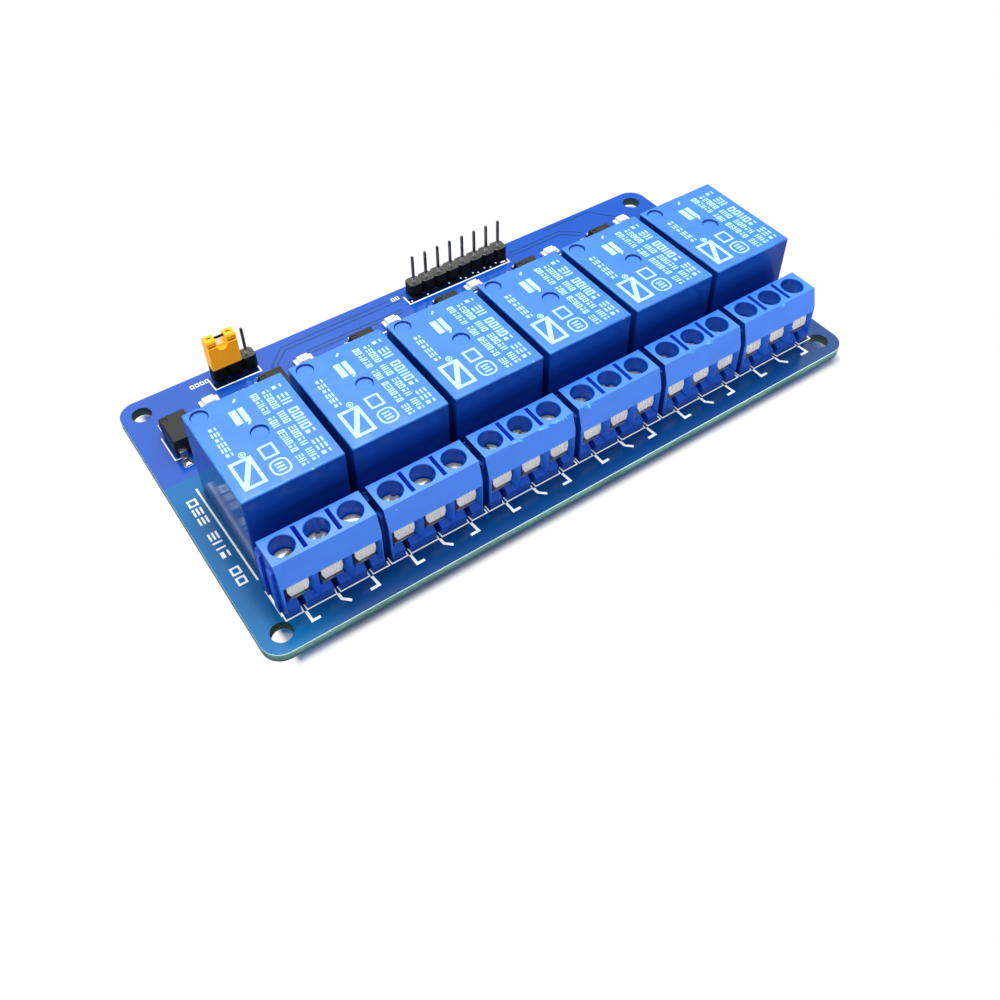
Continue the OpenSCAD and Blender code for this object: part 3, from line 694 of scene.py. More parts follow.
# Near-black bars: painted shade in the hump slots; at the clip's top edge, partly its own dark and
# partly painted shade.
SLOT_DARK = plastic(
    "slot_dark", (0.022, 0.012, 0.005), (0.015, 0.010, 0.005), 0.6, shine=0.12)
EPOXY_BLACK = plastic(
    "epoxy_black", (0.010, 0.011, 0.010), (0.015, 0.017, 0.015), 0.42, grain=4000.0,
    relief=0.5, spots=(700.0, 0.15, 0.1), pale=(0.08, 0.09, 0.08), shine=0.22)
LENS_WHITE = plastic("lens_milk", (0.90, 0.93, 0.93), (0.84, 0.88, 0.86), 0.25, milk=0.15)
# The legend's glow lifts the white print: painted light.
LEGEND_WHITE = plastic(
    "legend_white", (0.93, 0.96, 0.96), (0.86, 0.92, 0.93), 0.55, grain=9000.0,
    spots=(1500.0, 0.10, 0.2), pale=(0.3, 0.45, 0.6), shine=0.2, glow=(0.9, 1.0, 1.0, 0.2))
MASK_GLASS = mask_material("mask_over_glass", MASK_OVER_GLASS)
# A near-black copy of the lacquer for the painted shadow and reflection in front of the headers.
MASK_PAINTED_SHADOW = mask_material("mask_painted_header_shadow", (0.001, 0.008, 0.035))
BOARD = board_material()
PIN_METAL = pin_material()
TINNED = metal("tinned_copper", (0.60, 0.60, 0.59), (0.2, 0.19, 0.17), 0.5, 0.12)
SOLDER = metal("bright_solder", (0.42, 0.42, 0.42), (0.2, 0.2, 0.2), 0.5, 0.24)
CONTACT_TIN = metal("contact_tin", (0.66, 0.65, 0.62), (0.3, 0.28, 0.25), 0.4, 0.3)
GUARD_NICKEL = metal(
    "guard_nickel", (1.0, 0.99, 0.95), (0.70, 0.66, 0.58), 0.5, 0.24, relief=0.02, mirror=0.5)
SCREW_BRASS = metal(
    "screw_brass", (0.96, 0.92, 0.74), (0.36, 0.28, 0.14), 0.9, 0.22, relief=0.8, mirror=0.55)
CLIP_BRASS = metal("clip_brass", (0.98, 0.92, 0.78), (0.7, 0.6, 0.42), 0.3, 0.3, mirror=0.3)


def numbered(name):
    return [f"{name}_{i}" for i in CHANNELS]


def dress(nodes, material):
    """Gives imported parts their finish, in their objects' own material slots."""
    for part in (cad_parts[node] for node in nodes):
        if not part.material_slots:
            part.data.materials.append(None)
        for entry in part.material_slots:
            entry.material = material


dress(["circuit_board"], BOARD)
dress(numbered("relay_base"), RELAY_BASE)
dress(["relay_pins", "optocoupler_leads"], TINNED)
dress(numbered("terminal_contacts"), CONTACT_TIN)
dress(["jumper_clip"], CLIP_BRASS)
dress(["resistors", "transistors", "flyback_diodes"], EPOXY_BLACK)
dress(["solder_joints"], SOLDER)
dress(["indicators"], LENS_WHITE)


# ---------------------------------------------------------------- relays

RELAY_EDGE_RADIUS = 0.24 * MM
EJECTOR_RADIUS = 1.25 * MM
EJECTOR_DEPTH = 0.36 * MM


def field_lines(half, dips, reach, fine=0.07 * MM, steps=5):
    """Places of a grid's lines from -half to half: coarse, and fine across each dip."""
    lines = [np.linspace(-half, half, steps + 1)]
    for middle in dips:
        start, end = max(middle - reach, -half), min(middle + reach, half)
        lines.append(np.linspace(start, end, int(round((end - start) / fine)) + 1))
    places = np.sort(np.concatenate(lines))
    places = places[np.concatenate([[True], np.diff(places) > 0.2 * fine])]
    places[[0, -1]] = -half, half
    return places


def arc_outline(x_lines, y_lines, out, steps=4):
    """The grid's own rim pushed out on all sides, with a quarter arc at each corner."""
    half_x, half_y = x_lines[-1], y_lines[-1]
    runs = [
        np.stack([x_lines, np.full_like(x_lines, -half_y - out)], -1),
        np.stack([np.full_like(y_lines, half_x + out), y_lines], -1),
        np.stack([x_lines[::-1], np.full_like(x_lines, half_y + out)], -1),
        np.stack([np.full_like(y_lines, -half_x - out), y_lines[::-1]], -1),
    ]
    points = []
    for k, run in enumerate(runs):
        turn = (k - 1) * math.pi / 2 + np.linspace(0, math.pi / 2, steps + 1)[1:-1]
        start = (k - 1) * math.pi / 2
        corner = run[-1] - out * np.array([math.cos(start), math.sin(start)])
        points += [run, corner + out * np.stack([np.cos(turn), np.sin(turn)], -1)]
    return np.concatenate(points)


def relay_case(low, high):
    """The moulded cover. Its top is a grid whose height drops by a smooth step of the distance
    from each ejector mark, and the faces on that step take the sides' darker, glossy finish as
    painted shade; its edge is rings of the grid's rim pushed out along a quarter arc, in a pale
    finish that is partly wear and partly painted highlight."""
    middle, half = (low + high) / 2, (high - low) / 2
    top, radius, wall = high[2] - INK, RELAY_EDGE_RADIUS, 0.8 * MM
    marks = [(-half[0] + 1.95 * MM, half[1] - 1.7 * MM), (0.0, 0.6 * MM)]
    reach = EJECTOR_RADIUS + 0.14 * MM
    x_lines = field_lines(half[0] - radius, [mark[0] for mark in marks], reach)
    y_lines = field_lines(half[1] - radius, [mark[1] for mark in marks], reach)
    grid_x, grid_y = np.meshgrid(x_lines, y_lines)
    drop = np.zeros_like(grid_x)
    for mark in marks:
        away = np.hypot(grid_x - mark[0], grid_y - mark[1])
        step = np.clip((EJECTOR_RADIUS + 0.05 * MM - away) / (0.1 * MM), 0, 1)
        drop += EJECTOR_DEPTH * step * step * (3 - 2 * step)
    field = np.stack([grid_x, grid_y, top - drop], -1).reshape(-1, 3)
    faces = np.array(band_faces(len(y_lines), len(x_lines), wrap_columns=False))
    # The steep faces of the ejector marks take the sides' dark finish: painted shade on their walls.
    steep = np.ptp(field[faces, 2], axis=1) > 0.12 * MM
    stock = Stock().add((field, faces[~steep].tolist()))
    stock.add((field, faces[steep].tolist()), finish=2)

    def ring(inset, height):
        return at_height(arc_outline(x_lines, y_lines, radius - inset), height)

    turn = np.linspace(0, math.pi / 2, 5)
    arc = [ring(radius * (1 - math.cos(t)), top - radius * (1 - math.sin(t))) for t in turn]
    # The edge strip takes the paler finish: partly wear, partly painted highlight.
    stock.add(loft(arc, low_cap=False, high_cap=False), finish=1)
    outer = arc_outline(x_lines, y_lines, radius)
    inner = outer * (1 - wall / half[:2])
    rim, sill = low[2], low[2] + 2.0 * MM
    sides = [at_height(inner, sill), at_height(inner, rim), at_height(outer, rim), arc[0]]
    # The sides take the darker finish: painted shade.
    stock.add(loft(sides, high_cap=False), finish=2)
    return stock.shift((middle[0], middle[1], 0.0))


def relay_print(centre, low, high):
    """Plain marks: four rows, a coil symbol, a rounded panel, a window, a dot ring and bars."""
    marks = Print(low, high)
    marks.row(5.68, -8.3, 7.7, 1.5, (3, 5, 2, 1), 0.27)
    marks.row(3.95, -8.4, 7.4, 1.05, (3, 5, 3, 5), 0.2)
    marks.row(2.35, -8.5, 7.6, 1.05, (3, 6, 3, 6), 0.2)
    marks.row(-5.25, -1.6, 5.0, 1.15, (6,), 0.24)
    marks.draw(0.5, [(-6.0, -7.8), (-3.2, -7.8), (-3.2, -2.9), (-6.0, -2.9)], closed=True)
    marks.draw(0.75, [(-5.9, -7.7), (-3.3, -3.0)], sunk=0.004 * MM)
    marks.draw(0.26, rounded_outline(1.25, 1.35, 0.9) + (-0.5, -6.7), closed=True)
    marks.draw(0.26, *([(-1.1, y), (0.1, y)] for y in (-7.3, -6.7, -6.1)))
    marks.draw(0.32, [(-1.6, -4.4), (0.3, -4.4), (0.3, -2.2), (-1.6, -2.2)], closed=True)
    marks.draw(0.14, *(circle(radius, 20) + (-3.85, -2.0) for radius in (0.45, 0.16)), closed=True)
    marks.draw(1.0, [(-1.55, 3.2), (-1.55, 6.2)])
    marks.draw(0.8, [(-0.35, 3.2), (-0.35, 6.2)])
    marks.draw(0.3, *([(-0.6, y), (-0.1, y + 0.6)] for y in (2.6, 7.6)))
    return marks.shift((centre[0], centre[1], 0.0))


for i in CHANNELS:
    low, high = part_box(f"relay_cover_{i}")
    relay_case(low, high).piece(
        f"relay_case_{i}", [RELAY_TOP, RELAY_EDGE, RELAY_SIDE_SHADED], "relay_blue",
        [f"relay_cover_{i}"], weld=True)
    relay_print((low + high) / 2, high[2] - INK, high[2]).piece(
        f"relay_print_{i}", RELAY_INK, "relay_blue", smooth=False)


# ---------------------------------------------------------------- screw terminals

def pole_places(i):
    """Middle of each screw of a block, and the heights of their tips and their tops."""
    low, high = part_box(f"clamp_screws_{i}")
    middle = (low + high) / 2
    return [middle[:2] + np.array([(p - 1) * POLE_PITCH, 0]) for p in range(3)], low[2], high[2]


def finish_of_face(i):
    """Sorts a block's faces among darker copies of one plastic, all painted shade: one finish
    inside the wells, a darker one on the ends and their ribs, in the slots between the wells
    and on the low sills of the wire entries, and the darkest on an end that faces the next
    block. The rest keep the plain blue."""
    places, _, screw_top = pole_places(i)
    end, sill = 1.5 * POLE_PITCH - 0.02 * MM, BOARD_TOP + 2.4 * MM
    well_reach, well_depth, slot_half = 1.85 * MM, 2 * MM, 0.36 * MM
    first, last = (part_middle(f"clamp_screws_{k}")[0] for k in (1, 6))
    row_middle, row_half = (first + last) / 2, (last - first) / 2 + end

    def sort(middle, normal):
        aside = abs(middle[0] - places[1][0])
        if aside > end:
            return 1 if abs(middle[0] - row_middle) > row_half else 3
        away = min(np.hypot(*(middle[:2] - place)) for place in places)
        if away < well_reach and abs(normal[2]) < 0.5 and middle[2] > screw_top - well_depth:
            return 2
        in_slot = abs(aside - POLE_PITCH / 2) < slot_half and middle[2] > screw_top
        return 1 if in_slot or middle[2] < sill else 0

    return sort


for i in CHANNELS:
    softened(f"terminal_housing_{i}", "terminal_housing_1", f"terminal_block_{i}", 0.08 * MM,
             [TERMINAL_BLUE, TERMINAL_SIDE_SHADE, TERMINAL_WELL_SHADE, TERMINAL_GAP_SHADE],
             finish_of_face(i))


def clamp_screw(stock, place, tip, top, turned):
    """Adds a pan of turned rings with two domed cheeks that leave the driver slot between them."""
    radius, head, slot, slot_half = 1.65 * MM, 1.3 * MM, 0.6 * MM, 0.3 * MM
    rim, under = radius - 0.02 * MM, top - head
    stock.add(lathe([
        (1.05 * MM, tip - under), (1.22 * MM, tip - under + 0.15 * MM), (1.22 * MM, 0.0),
        (radius - 0.1 * MM, 0.0), (radius, 0.1 * MM), (radius, head - slot - 0.01 * MM),
        (rim, head - slot)
    ], (*place, under)))
    start = math.asin(slot_half / rim)
    for half_turn in (0.0, math.pi):
        angle = np.linspace(start, math.pi - start, 13) + half_turn + turned
        cheek = rim * np.stack([np.cos(angle), np.sin(angle)], -1) + place
        stock.add(pillow(cheek, place, top - slot - 0.02 * MM, top, 0.08 * MM, 0.08 * MM))


SLOT_TURNS = (0.35, 1.2, -0.5, 0.9, 0.1, -1.0, 1.5, 0.6, -0.25, 0.2, 1.0, -0.7,
              0.45, -1.3, 0.8, 0.0, 1.25, -0.4)
for i in CHANNELS:
    places, tip, top = pole_places(i)
    screws = Stock()
    for place, turned in zip(places, SLOT_TURNS[3 * i - 3:]):
        clamp_screw(screws, place, tip, top, turned)
    screws.piece(f"screw_set_{i}", SCREW_BRASS, "screw_brass", [f"clamp_screws_{i}"])


def wire_guard(x, low, high):
    """A strip that runs forward under the screw, rises through a short slope and leans back as
    a flap. Each station along its middle line carries the same eight-sided flat bar; its half
    width grows from the foot's to the flap's with the height, held at both ends."""
    sheet, trim, slope, lean = 0.3 * MM, 0.04 * MM, 0.5 * MM, 0.5 * MM
    foot, full = 1.05 * MM, 1.60 * MM
    toe, floor = low[1] + sheet / 2, low[2] + sheet / 2
    flap_foot, flap_top = np.array([toe, floor + slope]), np.array([toe + lean, high[2]])
    share = (1.2 * MM - slope) / (flap_top - flap_foot)[1]
    shoulder = flap_foot + share * (flap_top - flap_foot)
    line = eased(np.array([(high[1], floor), (toe + slope, floor), flap_foot, shoulder, flap_top]),
                 0.04 * MM)
    climb = np.clip((line[:, 1] - floor) / (1.2 * MM), 0, 1)
    half = foot + (full - foot) * climb
    ahead = np.gradient(line, axis=0)
    ahead /= np.linalg.norm(ahead, axis=1, keepdims=True)
    normal = np.stack([ahead[:, 1], -ahead[:, 0]], -1)
    across = np.array([-1, -1, 1, 1, 1, 1, -1, -1])
    trims = np.array([0, trim, trim, 0, 0, trim, trim, 0])
    depth = np.array([-sheet / 2 + trim, -sheet / 2, -sheet / 2, -sheet / 2 + trim,
                      sheet / 2 - trim, sheet / 2, sheet / 2, sheet / 2 - trim])
    rings = np.stack([
        x + across * (half[:, None] - trims), line[:, :1] + normal[:, :1] * depth,
        line[:, 1:] + normal[:, 1:] * depth
    ], -1)
    return loft(rings)


for i in CHANNELS:
    low, high = part_box(f"wire_guards_{i}")
    guards = Stock()
    for place in pole_places(i)[0]:
        guards.add(wire_guard(place[0], low, high))
    guards.piece(f"wire_guard_set_{i}", GUARD_NICKEL, "guard_nickel", [f"wire_guards_{i}"])


FLASH_RUNS = (
    (3, -3.1, -1.4), (3, 1.4, 3.2), (3, 3.8, 6.5), (4, -6.9, -5.5),
    (5, -3.1, -2.1), (5, 0.5, 1.7), (6, -0.5, 0.6),
)


def flash_strip(start, end, seed):
    """A ragged fin of moulding flash: a wedge of four points carried from start to end, whose
    reach is a seeded sum of sines, tapered to nothing at both ends."""
    rng = np.random.default_rng(seed)
    share = np.linspace(0, 1, 25)
    waves = sum(rng.uniform(0.2, 1) * np.sin(share * rng.uniform(8, 60) + rng.uniform(0, 6))
                for _ in range(5))
    reach = (0.12 + 0.5 * np.abs(waves)) * MM * np.minimum(1, 8 * share * (1 - share)) + 0.01 * MM
    line = np.array(start) + share[:, None] * (np.array(end) - np.array(start))
    root = np.full_like(reach, 0.07 * MM)
    wedge = [(-0.2 * reach, 0.5 * reach), (-0.8 * reach, 0.3 * reach), (0 * root, -root),
             (root, -0.3 * root)]
    rings = [line + np.stack([0 * reach, y, z], -1) for y, z in wedge]
    return loft(np.stack(rings, 1))


flash = Stock()
for seed, (i, start, end) in enumerate(FLASH_RUNS):
    low, high = part_box(f"terminal_housing_{i}")
    middle_x = part_middle(f"clamp_screws_{i}")[0]
    edge_y = part_middle(f"clamp_screws_{i}")[1] - 2.45 * MM
    ends = [(middle_x + x * MM, edge_y, high[2]) for x in (start, end)]
    flash.add(flash_strip(*ends, seed + 11))
flash.piece("terminal_flash", TERMINAL_FLASH, "terminal_blue", smooth=False)


# ---------------------------------------------------------------- headers and jumper cap


def header_cells(low, high, count):
    """One moulded cell to a pin: an eight-sided outline with rounded edges, and a shallow dish
    round the pin. All above the walls takes the second finish, a lighter copy of the black
    that is painted light."""
    half_y, half_x = (high[1] - low[1]) / 2, PIN_PITCH / 2
    cut, height = 0.45 * MM, high[2] - low[2]
    outline = np.array([
        (half_x, half_y - cut), (half_x - cut, half_y), (cut - half_x, half_y),
        (-half_x, half_y - cut), (-half_x, cut - half_y), (cut - half_x, -half_y),
        (half_x - cut, -half_y), (half_x, cut - half_y)
    ])
    rings = [(1.0, 0.0), (1.0, height - 0.10 * MM), (0.97, height - 0.03 * MM), (0.91, height),
             (0.66, height - 0.03 * MM), (0.50, height - 0.16 * MM)]
    cell = loft([at_height(outline * size, z) for size, z in rings])
    finish = [0] * 8 + [1] * 8 * (len(rings) - 2) + [0, 1]
    places = [(low[0] + half_x + k * PIN_PITCH, (low[1] + high[1]) / 2, low[2])
              for k in range(count)]
    return Stock().add(cell, places, finish)


def header_pins(low, high, count):
    """Square wires with blunt ends: a square with rounded corners, narrower at both tips."""
    half, tip = 0.215 * MM, 0.14 * MM
    profile = [(tip, low[2]), (half, low[2] + 0.3 * MM), (half, high[2] - 0.15 * MM), (tip, high[2])]
    wire = loft([at_height(rounded_outline(size, size, 0.3 * size), z) for size, z in profile])
    middle = (low + high) / 2
    first = middle[0] - (count - 1) / 2 * PIN_PITCH
    return Stock().add(wire, [(first + k * PIN_PITCH, middle[1], 0) for k in range(count)])


for name, count in (("control_header", 8), ("supply_header", 3)):
    header_cells(*part_box(f"{name}_housing"), count).piece(
        f"{name}_block", [HEADER_BLACK, HEADER_TOP_LIT], "header_black", [f"{name}_housing"],
        smooth=False)
    header_pins(*part_box(f"{name}_pins"), count).piece(
        f"{name}_wires", PIN_METAL, "header_pin_metal", [f"{name}_pins"])


def jumper_shell(low, high):
    """The cap as one closed shell: an outline with a hump at each end and a round notch
    between them, carried from front to back. The humps stand in from the body's front and
    back, and their outer corners are cut, so each station has its own hump height."""
    middle, half = (low + high) / 2, (high - low) / 2
    full, shoulder = high[2] - low[2], high[2] - low[2] - 1.3 * MM
    notch, step, cut = 0.85 * MM, 0.15 * MM, 0.3 * MM
    turn = np.linspace(math.pi, 2 * math.pi, 13)
    arc = np.stack([notch * np.cos(turn), shoulder + notch * np.sin(turn)], -1)
    rings = []
    for depth, top in ((0, shoulder), (step, shoulder), (step, full - cut), (step + cut, full)):
        outline = np.concatenate([
            [(-half[0], 0), (-half[0], top), (-notch, top)], arc,
            [(notch, top), (half[0], top), (half[0], 0)]
        ])
        rings.append(np.insert(outline, 1, half[1] - depth, axis=1))
    rings = np.array([ring * (1, -1, 1) for ring in rings] + rings[::-1])
    return loft(rings + (middle[0], middle[1], low[2]))


def jumper_marks(low, high):
    """What shows inside the cap: the clip's face in the notch, lit by a painted glow, and a dark
    bar at its top edge, partly its own dark and partly painted shade; a bar of painted shade
    for a slot in each hump; and a bar of painted shade under each hump."""
    middle, top, front = (low + high) / 2, high[2], low[1] + 0.15 * MM
    clip, dark, recess_shade = Stock(), Stock(), Stock()

    def bar(stock, x, y, z):
        corners = np.array([x, y, z]).T * MM + (middle[0], middle[1], top)
        stock.add(soft_block(*corners, 0.03 * MM, 0.02 * MM))

    bar(clip, (-0.84, 0.45), (-0.1, 0.22), (-1.9, -0.62))
    bar(dark, (-0.86, 0.86), (-0.02, 0.26), (-0.62, -0.30))
    for side in (-1, 1):
        bar(dark, (side * 1.62 - 0.38, side * 1.62 + 0.38), (-0.16, 0.16), (-0.3, 0.004))
        ledge = (front - middle[1]) / MM
        bar(recess_shade, (side * 1.68 - 0.6, side * 1.68 + 0.6), (ledge - 0.012, ledge + 0.2),
            (-1.3, -0.9))
    return clip, dark, recess_shade


cap_low, cap_high = part_box("jumper_cap")
cap = Stock().add(jumper_shell(cap_low, cap_high)).piece(
    "jumper_shunt", [JUMPER_AMBER, JUMPER_EDGE], "jumper_amber", ["jumper_cap"], smooth=False)
join_points(cap.data, flat=math.radians(0.5))
cap.data.shade_smooth()
# The rounded edges take the paler edge finish: a painted highlight.
soften_edges(cap, 0.12 * MM, 1)
clip, dark, recess_shade = jumper_marks(cap_low, cap_high)
# The glowing clip face is painted light; the slot bars and the bars under the humps are painted
# shade.
clip.piece("jumper_clip_face", CLIP_FACE_GLOWING, "clip_brass", smooth=False)
dark.piece("jumper_slots", SLOT_DARK, "jumper_amber", smooth=False)
recess_shade.piece("jumper_recess_shade", JUMPER_SHADE, "jumper_amber", smooth=False)

for i in CHANNELS:
    softened(f"optocoupler_{i}", "optocoupler_1", f"coupler_{i}", 0.12 * MM, [EPOXY_BLACK])


# ---------------------------------------------------------------- print on the board

LEGEND_LOW, LEGEND_HIGH = BOARD_TOP - 0.004 * MM, BOARD_TOP + INK
FILM_HIGH = BOARD_TOP + 0.004 * MM


def terminal_legend(marks, i):
    """The outline round a block, broken at each notch, and the changeover contact's symbol."""
    front = part_box(f"terminal_housing_{i}")[0][1] / MM - 0.28
    a, b, c = (place[0] / MM for place in pole_places(i)[0])
    left, right = b - 7.95, b + 7.95
    back = front + (5.9 if i == 1 else 1.2)
    marks.draw(
        0.2, [(left, back), (left, front), (a - 0.3, front), (a - 0.25, front + 1.0)],
        *([(x + 0.25, front + 1.0), (x + 0.3, front), (y - 0.3, front), (y - 0.25, front + 1.0)]
          for x, y in ((a, b), (b, c))),
        [(c + 0.25, front + 1.0), (c + 0.3, front), (right, front), (right, front + 0.8)])
    if i == 1:
        marks.draw(0.4, [(left - 0.1, back), (left - 0.05, front + 0.9)])
    marks.draw(
        0.42, [(a, front - 0.1), (a + 0.02, front - 1.95), (a + 1.25, front - 1.93)],
        [(b - 0.2, front - 0.1), (b - 0.15, front - 1.1), (b + 0.85, front - 2.05)],
        [(c - 0.1, front - 0.2), (c + 0.05, front - 2.0), (c - 1.3, front - 2.03)])


def board_legend():
    """Lines, boxes and plain blocks printed on the board, away from the terminal blocks."""
    marks = Print(LEGEND_LOW, LEGEND_HIGH)
    marks.draw(0.28, [(-48.9, 5.1), (-48.57, -14.86)])
    marks.draw(0.24, [(-37.78, 25.3), (-37.72, 22.66), (-29.7, 22.56), (-29.67, 23.9)],
               [(-0.95, 25.2), (-0.9, 22.85), (20.0, 22.75), (20.1, 23.7)])
    for node in numbered("optocoupler"):
        low, high = (corner / MM for corner in part_box(node))
        left, front = low[0] - 0.35, low[1] + 0.1
        marks.draw(0.22, [(left, high[1] - 0.8), (left, front), (left + 1.25, front - 0.15)])
    low, high = (corner / MM for corner in part_box("indicators"))
    y = low[1] - 0.5
    for x in np.linspace(low[0] + 1.6, high[0] - 1.6, 6):
        marks.draw(0.24, [(x - 3.0, y + 0.3), (x - 3.0, y), (x + 2.5, y), (x + 2.5, y + 0.5)])
    marks.row(-50.45, -14.6, 3.8, 1.45, (2, 3, 3), 0.3)
    box = np.array([(0, 0), (0.5, 0), (0.5, 0.7), (0, 0.7)])
    for x, y, count in ((-40.9, 25.05, 4), (-3.1, 25.25, 2)):
        marks.draw(0.16, *(box + (x + 0.85 * k, y) for k in range(count)), closed=True)
    marks.draw(0.36, [(18.5, 23.4), (19.5, 23.4)])
    dot = loft([at_height(circle(0.17 * MM, 16), height) for height in (LEGEND_LOW, LEGEND_HIGH)])
    for y, row in ((23.4, (-0.26, 3.04, 10.99, 13.67, 16.33)),
                   (23.85, (7.7, 10.2, 12.8, 15.3, 17.8))):
        marks.add(dot, [(x * MM, y * MM, 0) for x in row])
    return marks


def track_gaps():
    """Dark lines where the copper is cut away beside each track of the back strip."""
    marks = Print(LEGEND_LOW, FILM_HIGH)
    marks.draw(
        0.26,
        [(-27.9, 18.2), (-27.9, 22.3), (-24.6, 25.75), (6.0, 25.75)],
        [(-26.9, 18.2), (-26.9, 22.3), (-24.2, 24.75), (-1.6, 24.75)],
        [(-21.4, 22.55), (-3.0, 22.55)],
        [(-21.4, 21.75), (-3.0, 21.75)],
        [(21.5, 24.8), (33.0, 24.8), (36.0, 22.2)],
        [(21.5, 23.9), (32.6, 23.9), (35.4, 21.4)],
        [(30.5, 26.6), (41.0, 26.6), (45.0, 21.5)])
    return marks


def header_shadow_patches():
    """Near-black patches of lacquer in front of both headers, as far as the printed lines:
    painted shadow and painted reflection of the black headers.
    """
    marks, back = Print(LEGEND_LOW, FILM_HIGH), 24.1
    for left, right, front in ((-37.7, -29.8, 22.66), (-0.9, 20.0, 22.85)):
        middle = (front + back) / 2
        marks.draw(back - front, [(left, middle), (right, middle)])
    return marks


legend = Print(LEGEND_LOW, LEGEND_HIGH)
for i in CHANNELS:
    terminal_legend(legend, i)
for name, marks, finish in (
    ("terminal_legend", legend, LEGEND_WHITE), ("board_legend", board_legend(), LEGEND_WHITE),
    ("track_gaps", track_gaps(), MASK_GLASS), ("header_shadow_patches", header_shadow_patches(), MASK_PAINTED_SHADOW),
):
    marks.piece(name, finish, "solder_mask", smooth=False)


# ---------------------------------------------------------------- pads and solder


def solder_fillet(half_x, half_y, height):
    """A pillow of solder: its outline drawn in by the square of its height."""
    rings = []
    for share in np.linspace(0, 1, 5):
        size = 1 - 0.75 * share * share
        outline = rounded_outline(half_x * size, half_y * size, 0.3 * min(half_x, half_y))
        rings.append(at_height(outline, height * share))
    return loft(rings)


def coupler_pads():
    """Tinned pads and solder under the four leads of each optocoupler."""
    half_x, half_y, low, high = 0.75 * MM, 0.85 * MM, -0.01 * MM, 0.03 * MM
    pad = soft_block((-half_x, -half_y, low), (half_x, half_y, high), 0.15 * MM, 0.02 * MM)
    fillet = solder_fillet(0.62 * MM, 0.68 * MM, 0.28 * MM)
    stock = Stock()
    for node in numbered("optocoupler"):
        front, back = part_box(node)
        middle, reach = (front + back) / 2, (back[1] - front[1]) / 2 + 1.35 * MM
        for x in (-1, 1):
            for y in (-1, 1):
                lead = np.array([middle[0] + x * PIN_PITCH / 2, middle[1] + y * reach, BOARD_TOP])
                stock.add(pad, [lead])
                stock.add(fillet, [lead + (0, y * 0.1 * MM, high)])
    return stock


coupler_pads().piece("coupler_pads", SOLDER, "solder")


# ---------------------------------------------------------------- floor, light and camera


def floor_material():
    """The floor. The camera sees white with the shadow left in under and close round the board,
    turning to plain white outside; reflections see it dimmer; and the light it gives back grows
    from left to right, and fills the sides."""
    material, n = start_material("floor_white")
    path = n.add("ShaderNodeLightPath").outputs
    axes = n.axes(n.place())
    outside = []
    for axis, middle, half in (("X", 2 * MM, board_high[0] - 2 * MM), ("Y", 0.0, board_high[1])):
        off = n.maths("ABSOLUTE", n.minus(axes[axis], middle))
        outside.append(n.maths("MAXIMUM", n.minus(off, half), 0.0))

    def glow(strength):
        return n.add("ShaderNodeEmission", {"Strength": strength}).outputs[0]

    def matt(level):
        return n.add("ShaderNodeBsdfDiffuse", {"Color": (level, level, level)}).outputs[0]

    def choose(share, first, second):
        return n.add("ShaderNodeMixShader", {0: share, 1: first, 2: second}).outputs[0]

    fill = glow(n.ramp(axes["X"], -0.09, 0.06, 0.3, 1.15))
    raised = n.add("ShaderNodeAddShader", {0: matt(0.86), 1: fill}).outputs[0]
    lit = choose(path["Is Glossy Ray"], raised, glow(0.55))
    looked_at = choose(n.ramp(n.length(*outside), 0.0, 0.8 * MM), matt(1.0), glow(1.0))
    seen = n.maths("MAXIMUM", path["Is Camera Ray"], path["Is Transmission Ray"])
    n.add("ShaderNodeOutputMaterial", {"Surface": choose(seen, lit, looked_at)})
    return material


def make_floor():
    """A wide square at the height that the board's pins rest on."""
    half = 3.0
    corners = [(-half, -half), (half, -half), (half, half), (-half, half)]
    mesh = bpy.data.meshes.new("floor")
    mesh.from_pydata(at_height(corners, cad_bounds[0][2]).tolist(), [], [[0, 1, 2, 3]])
    mesh.materials.append(floor_material())
    placed("floor", mesh)


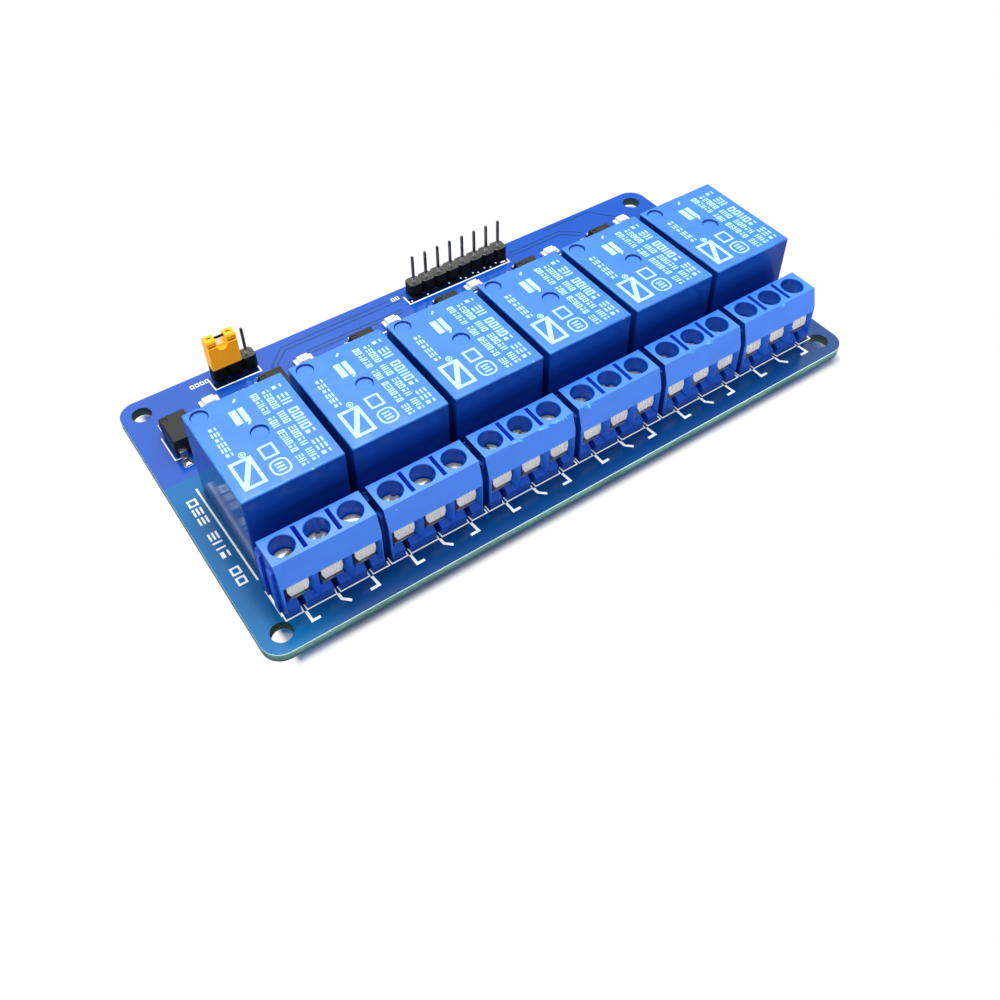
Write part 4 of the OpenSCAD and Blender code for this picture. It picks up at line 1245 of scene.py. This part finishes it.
def make_world():
    """Pale surroundings: dim in the light they give, brighter in reflections, white to look at."""
    world = bpy.data.worlds.new("studio")
    bpy.context.scene.world = world
    n = empty_tree(world)
    path = n.add("ShaderNodeLightPath").outputs
    seen = n.maths("MAXIMUM", path["Is Camera Ray"], path["Is Transmission Ray"])
    strength = n.maths("MAXIMUM", n.ramp(path["Is Glossy Ray"], 0.0, 1.0, 0.12, 0.7), seen)
    sky = n.add("ShaderNodeBackground", {"Color": (1.0, 1.0, 1.0), "Strength": strength})
    n.add("ShaderNodeOutputWorld", {"Surface": sky.outputs[0]})


def softbox(name, place, size, radiance):
    """A square lamp aimed at the origin; its power is pi times its area times the brightness of
    its face."""
    lamp = bpy.data.lights.new(name, "AREA")
    lamp.shape, lamp.size = "SQUARE", size
    lamp.energy = math.pi * size * size * radiance
    body = placed(name, lamp)
    body.location = place
    body.rotation_euler = (-Vector(place)).to_track_quat("-Z", "Y").to_euler()


CAMERA_PLACE = Vector((-70.69, -104.25, 122.66)) * MM
CAMERA_AZIMUTH = math.radians(33.24)
CAMERA_DIP = math.radians(45.88)
CAMERA_ROLL = math.radians(-1.19)


def make_camera():
    """Looks along the azimuth from +Y towards +X and down by the dip, turned by the roll."""
    sin_a, cos_a = math.sin(CAMERA_AZIMUTH), math.cos(CAMERA_AZIMUTH)
    sin_d, cos_d = math.sin(CAMERA_DIP), math.cos(CAMERA_DIP)
    ahead = Vector((sin_a * cos_d, cos_a * cos_d, -sin_d))
    level = Vector((cos_a, -sin_a, 0))
    above = Vector((sin_a * sin_d, cos_a * sin_d, cos_d))
    right = level * math.cos(CAMERA_ROLL) + above * math.sin(CAMERA_ROLL)
    up = right.cross(ahead)
    data = bpy.data.cameras.new("camera")
    data.sensor_fit, data.sensor_width, data.lens = "HORIZONTAL", 36.0, 38.853
    data.shift_x, data.shift_y = 0.022, -0.085
    data.clip_start, data.clip_end = 0.005, 20.0
    camera = placed("camera", data)
    turn = Matrix((right, up, -ahead)).transposed()
    camera.matrix_world = Matrix.Translation(CAMERA_PLACE) @ turn.to_4x4()
    bpy.context.scene.camera = camera


make_floor()
make_world()
softbox("overhead", (0.05, 0.08, 0.42), 0.70, 2.15)
softbox("key", (0.04, 0.14, 0.42), 0.10, 30.0)
make_camera()
bpy.context.scene.view_settings.view_transform = "Standard"
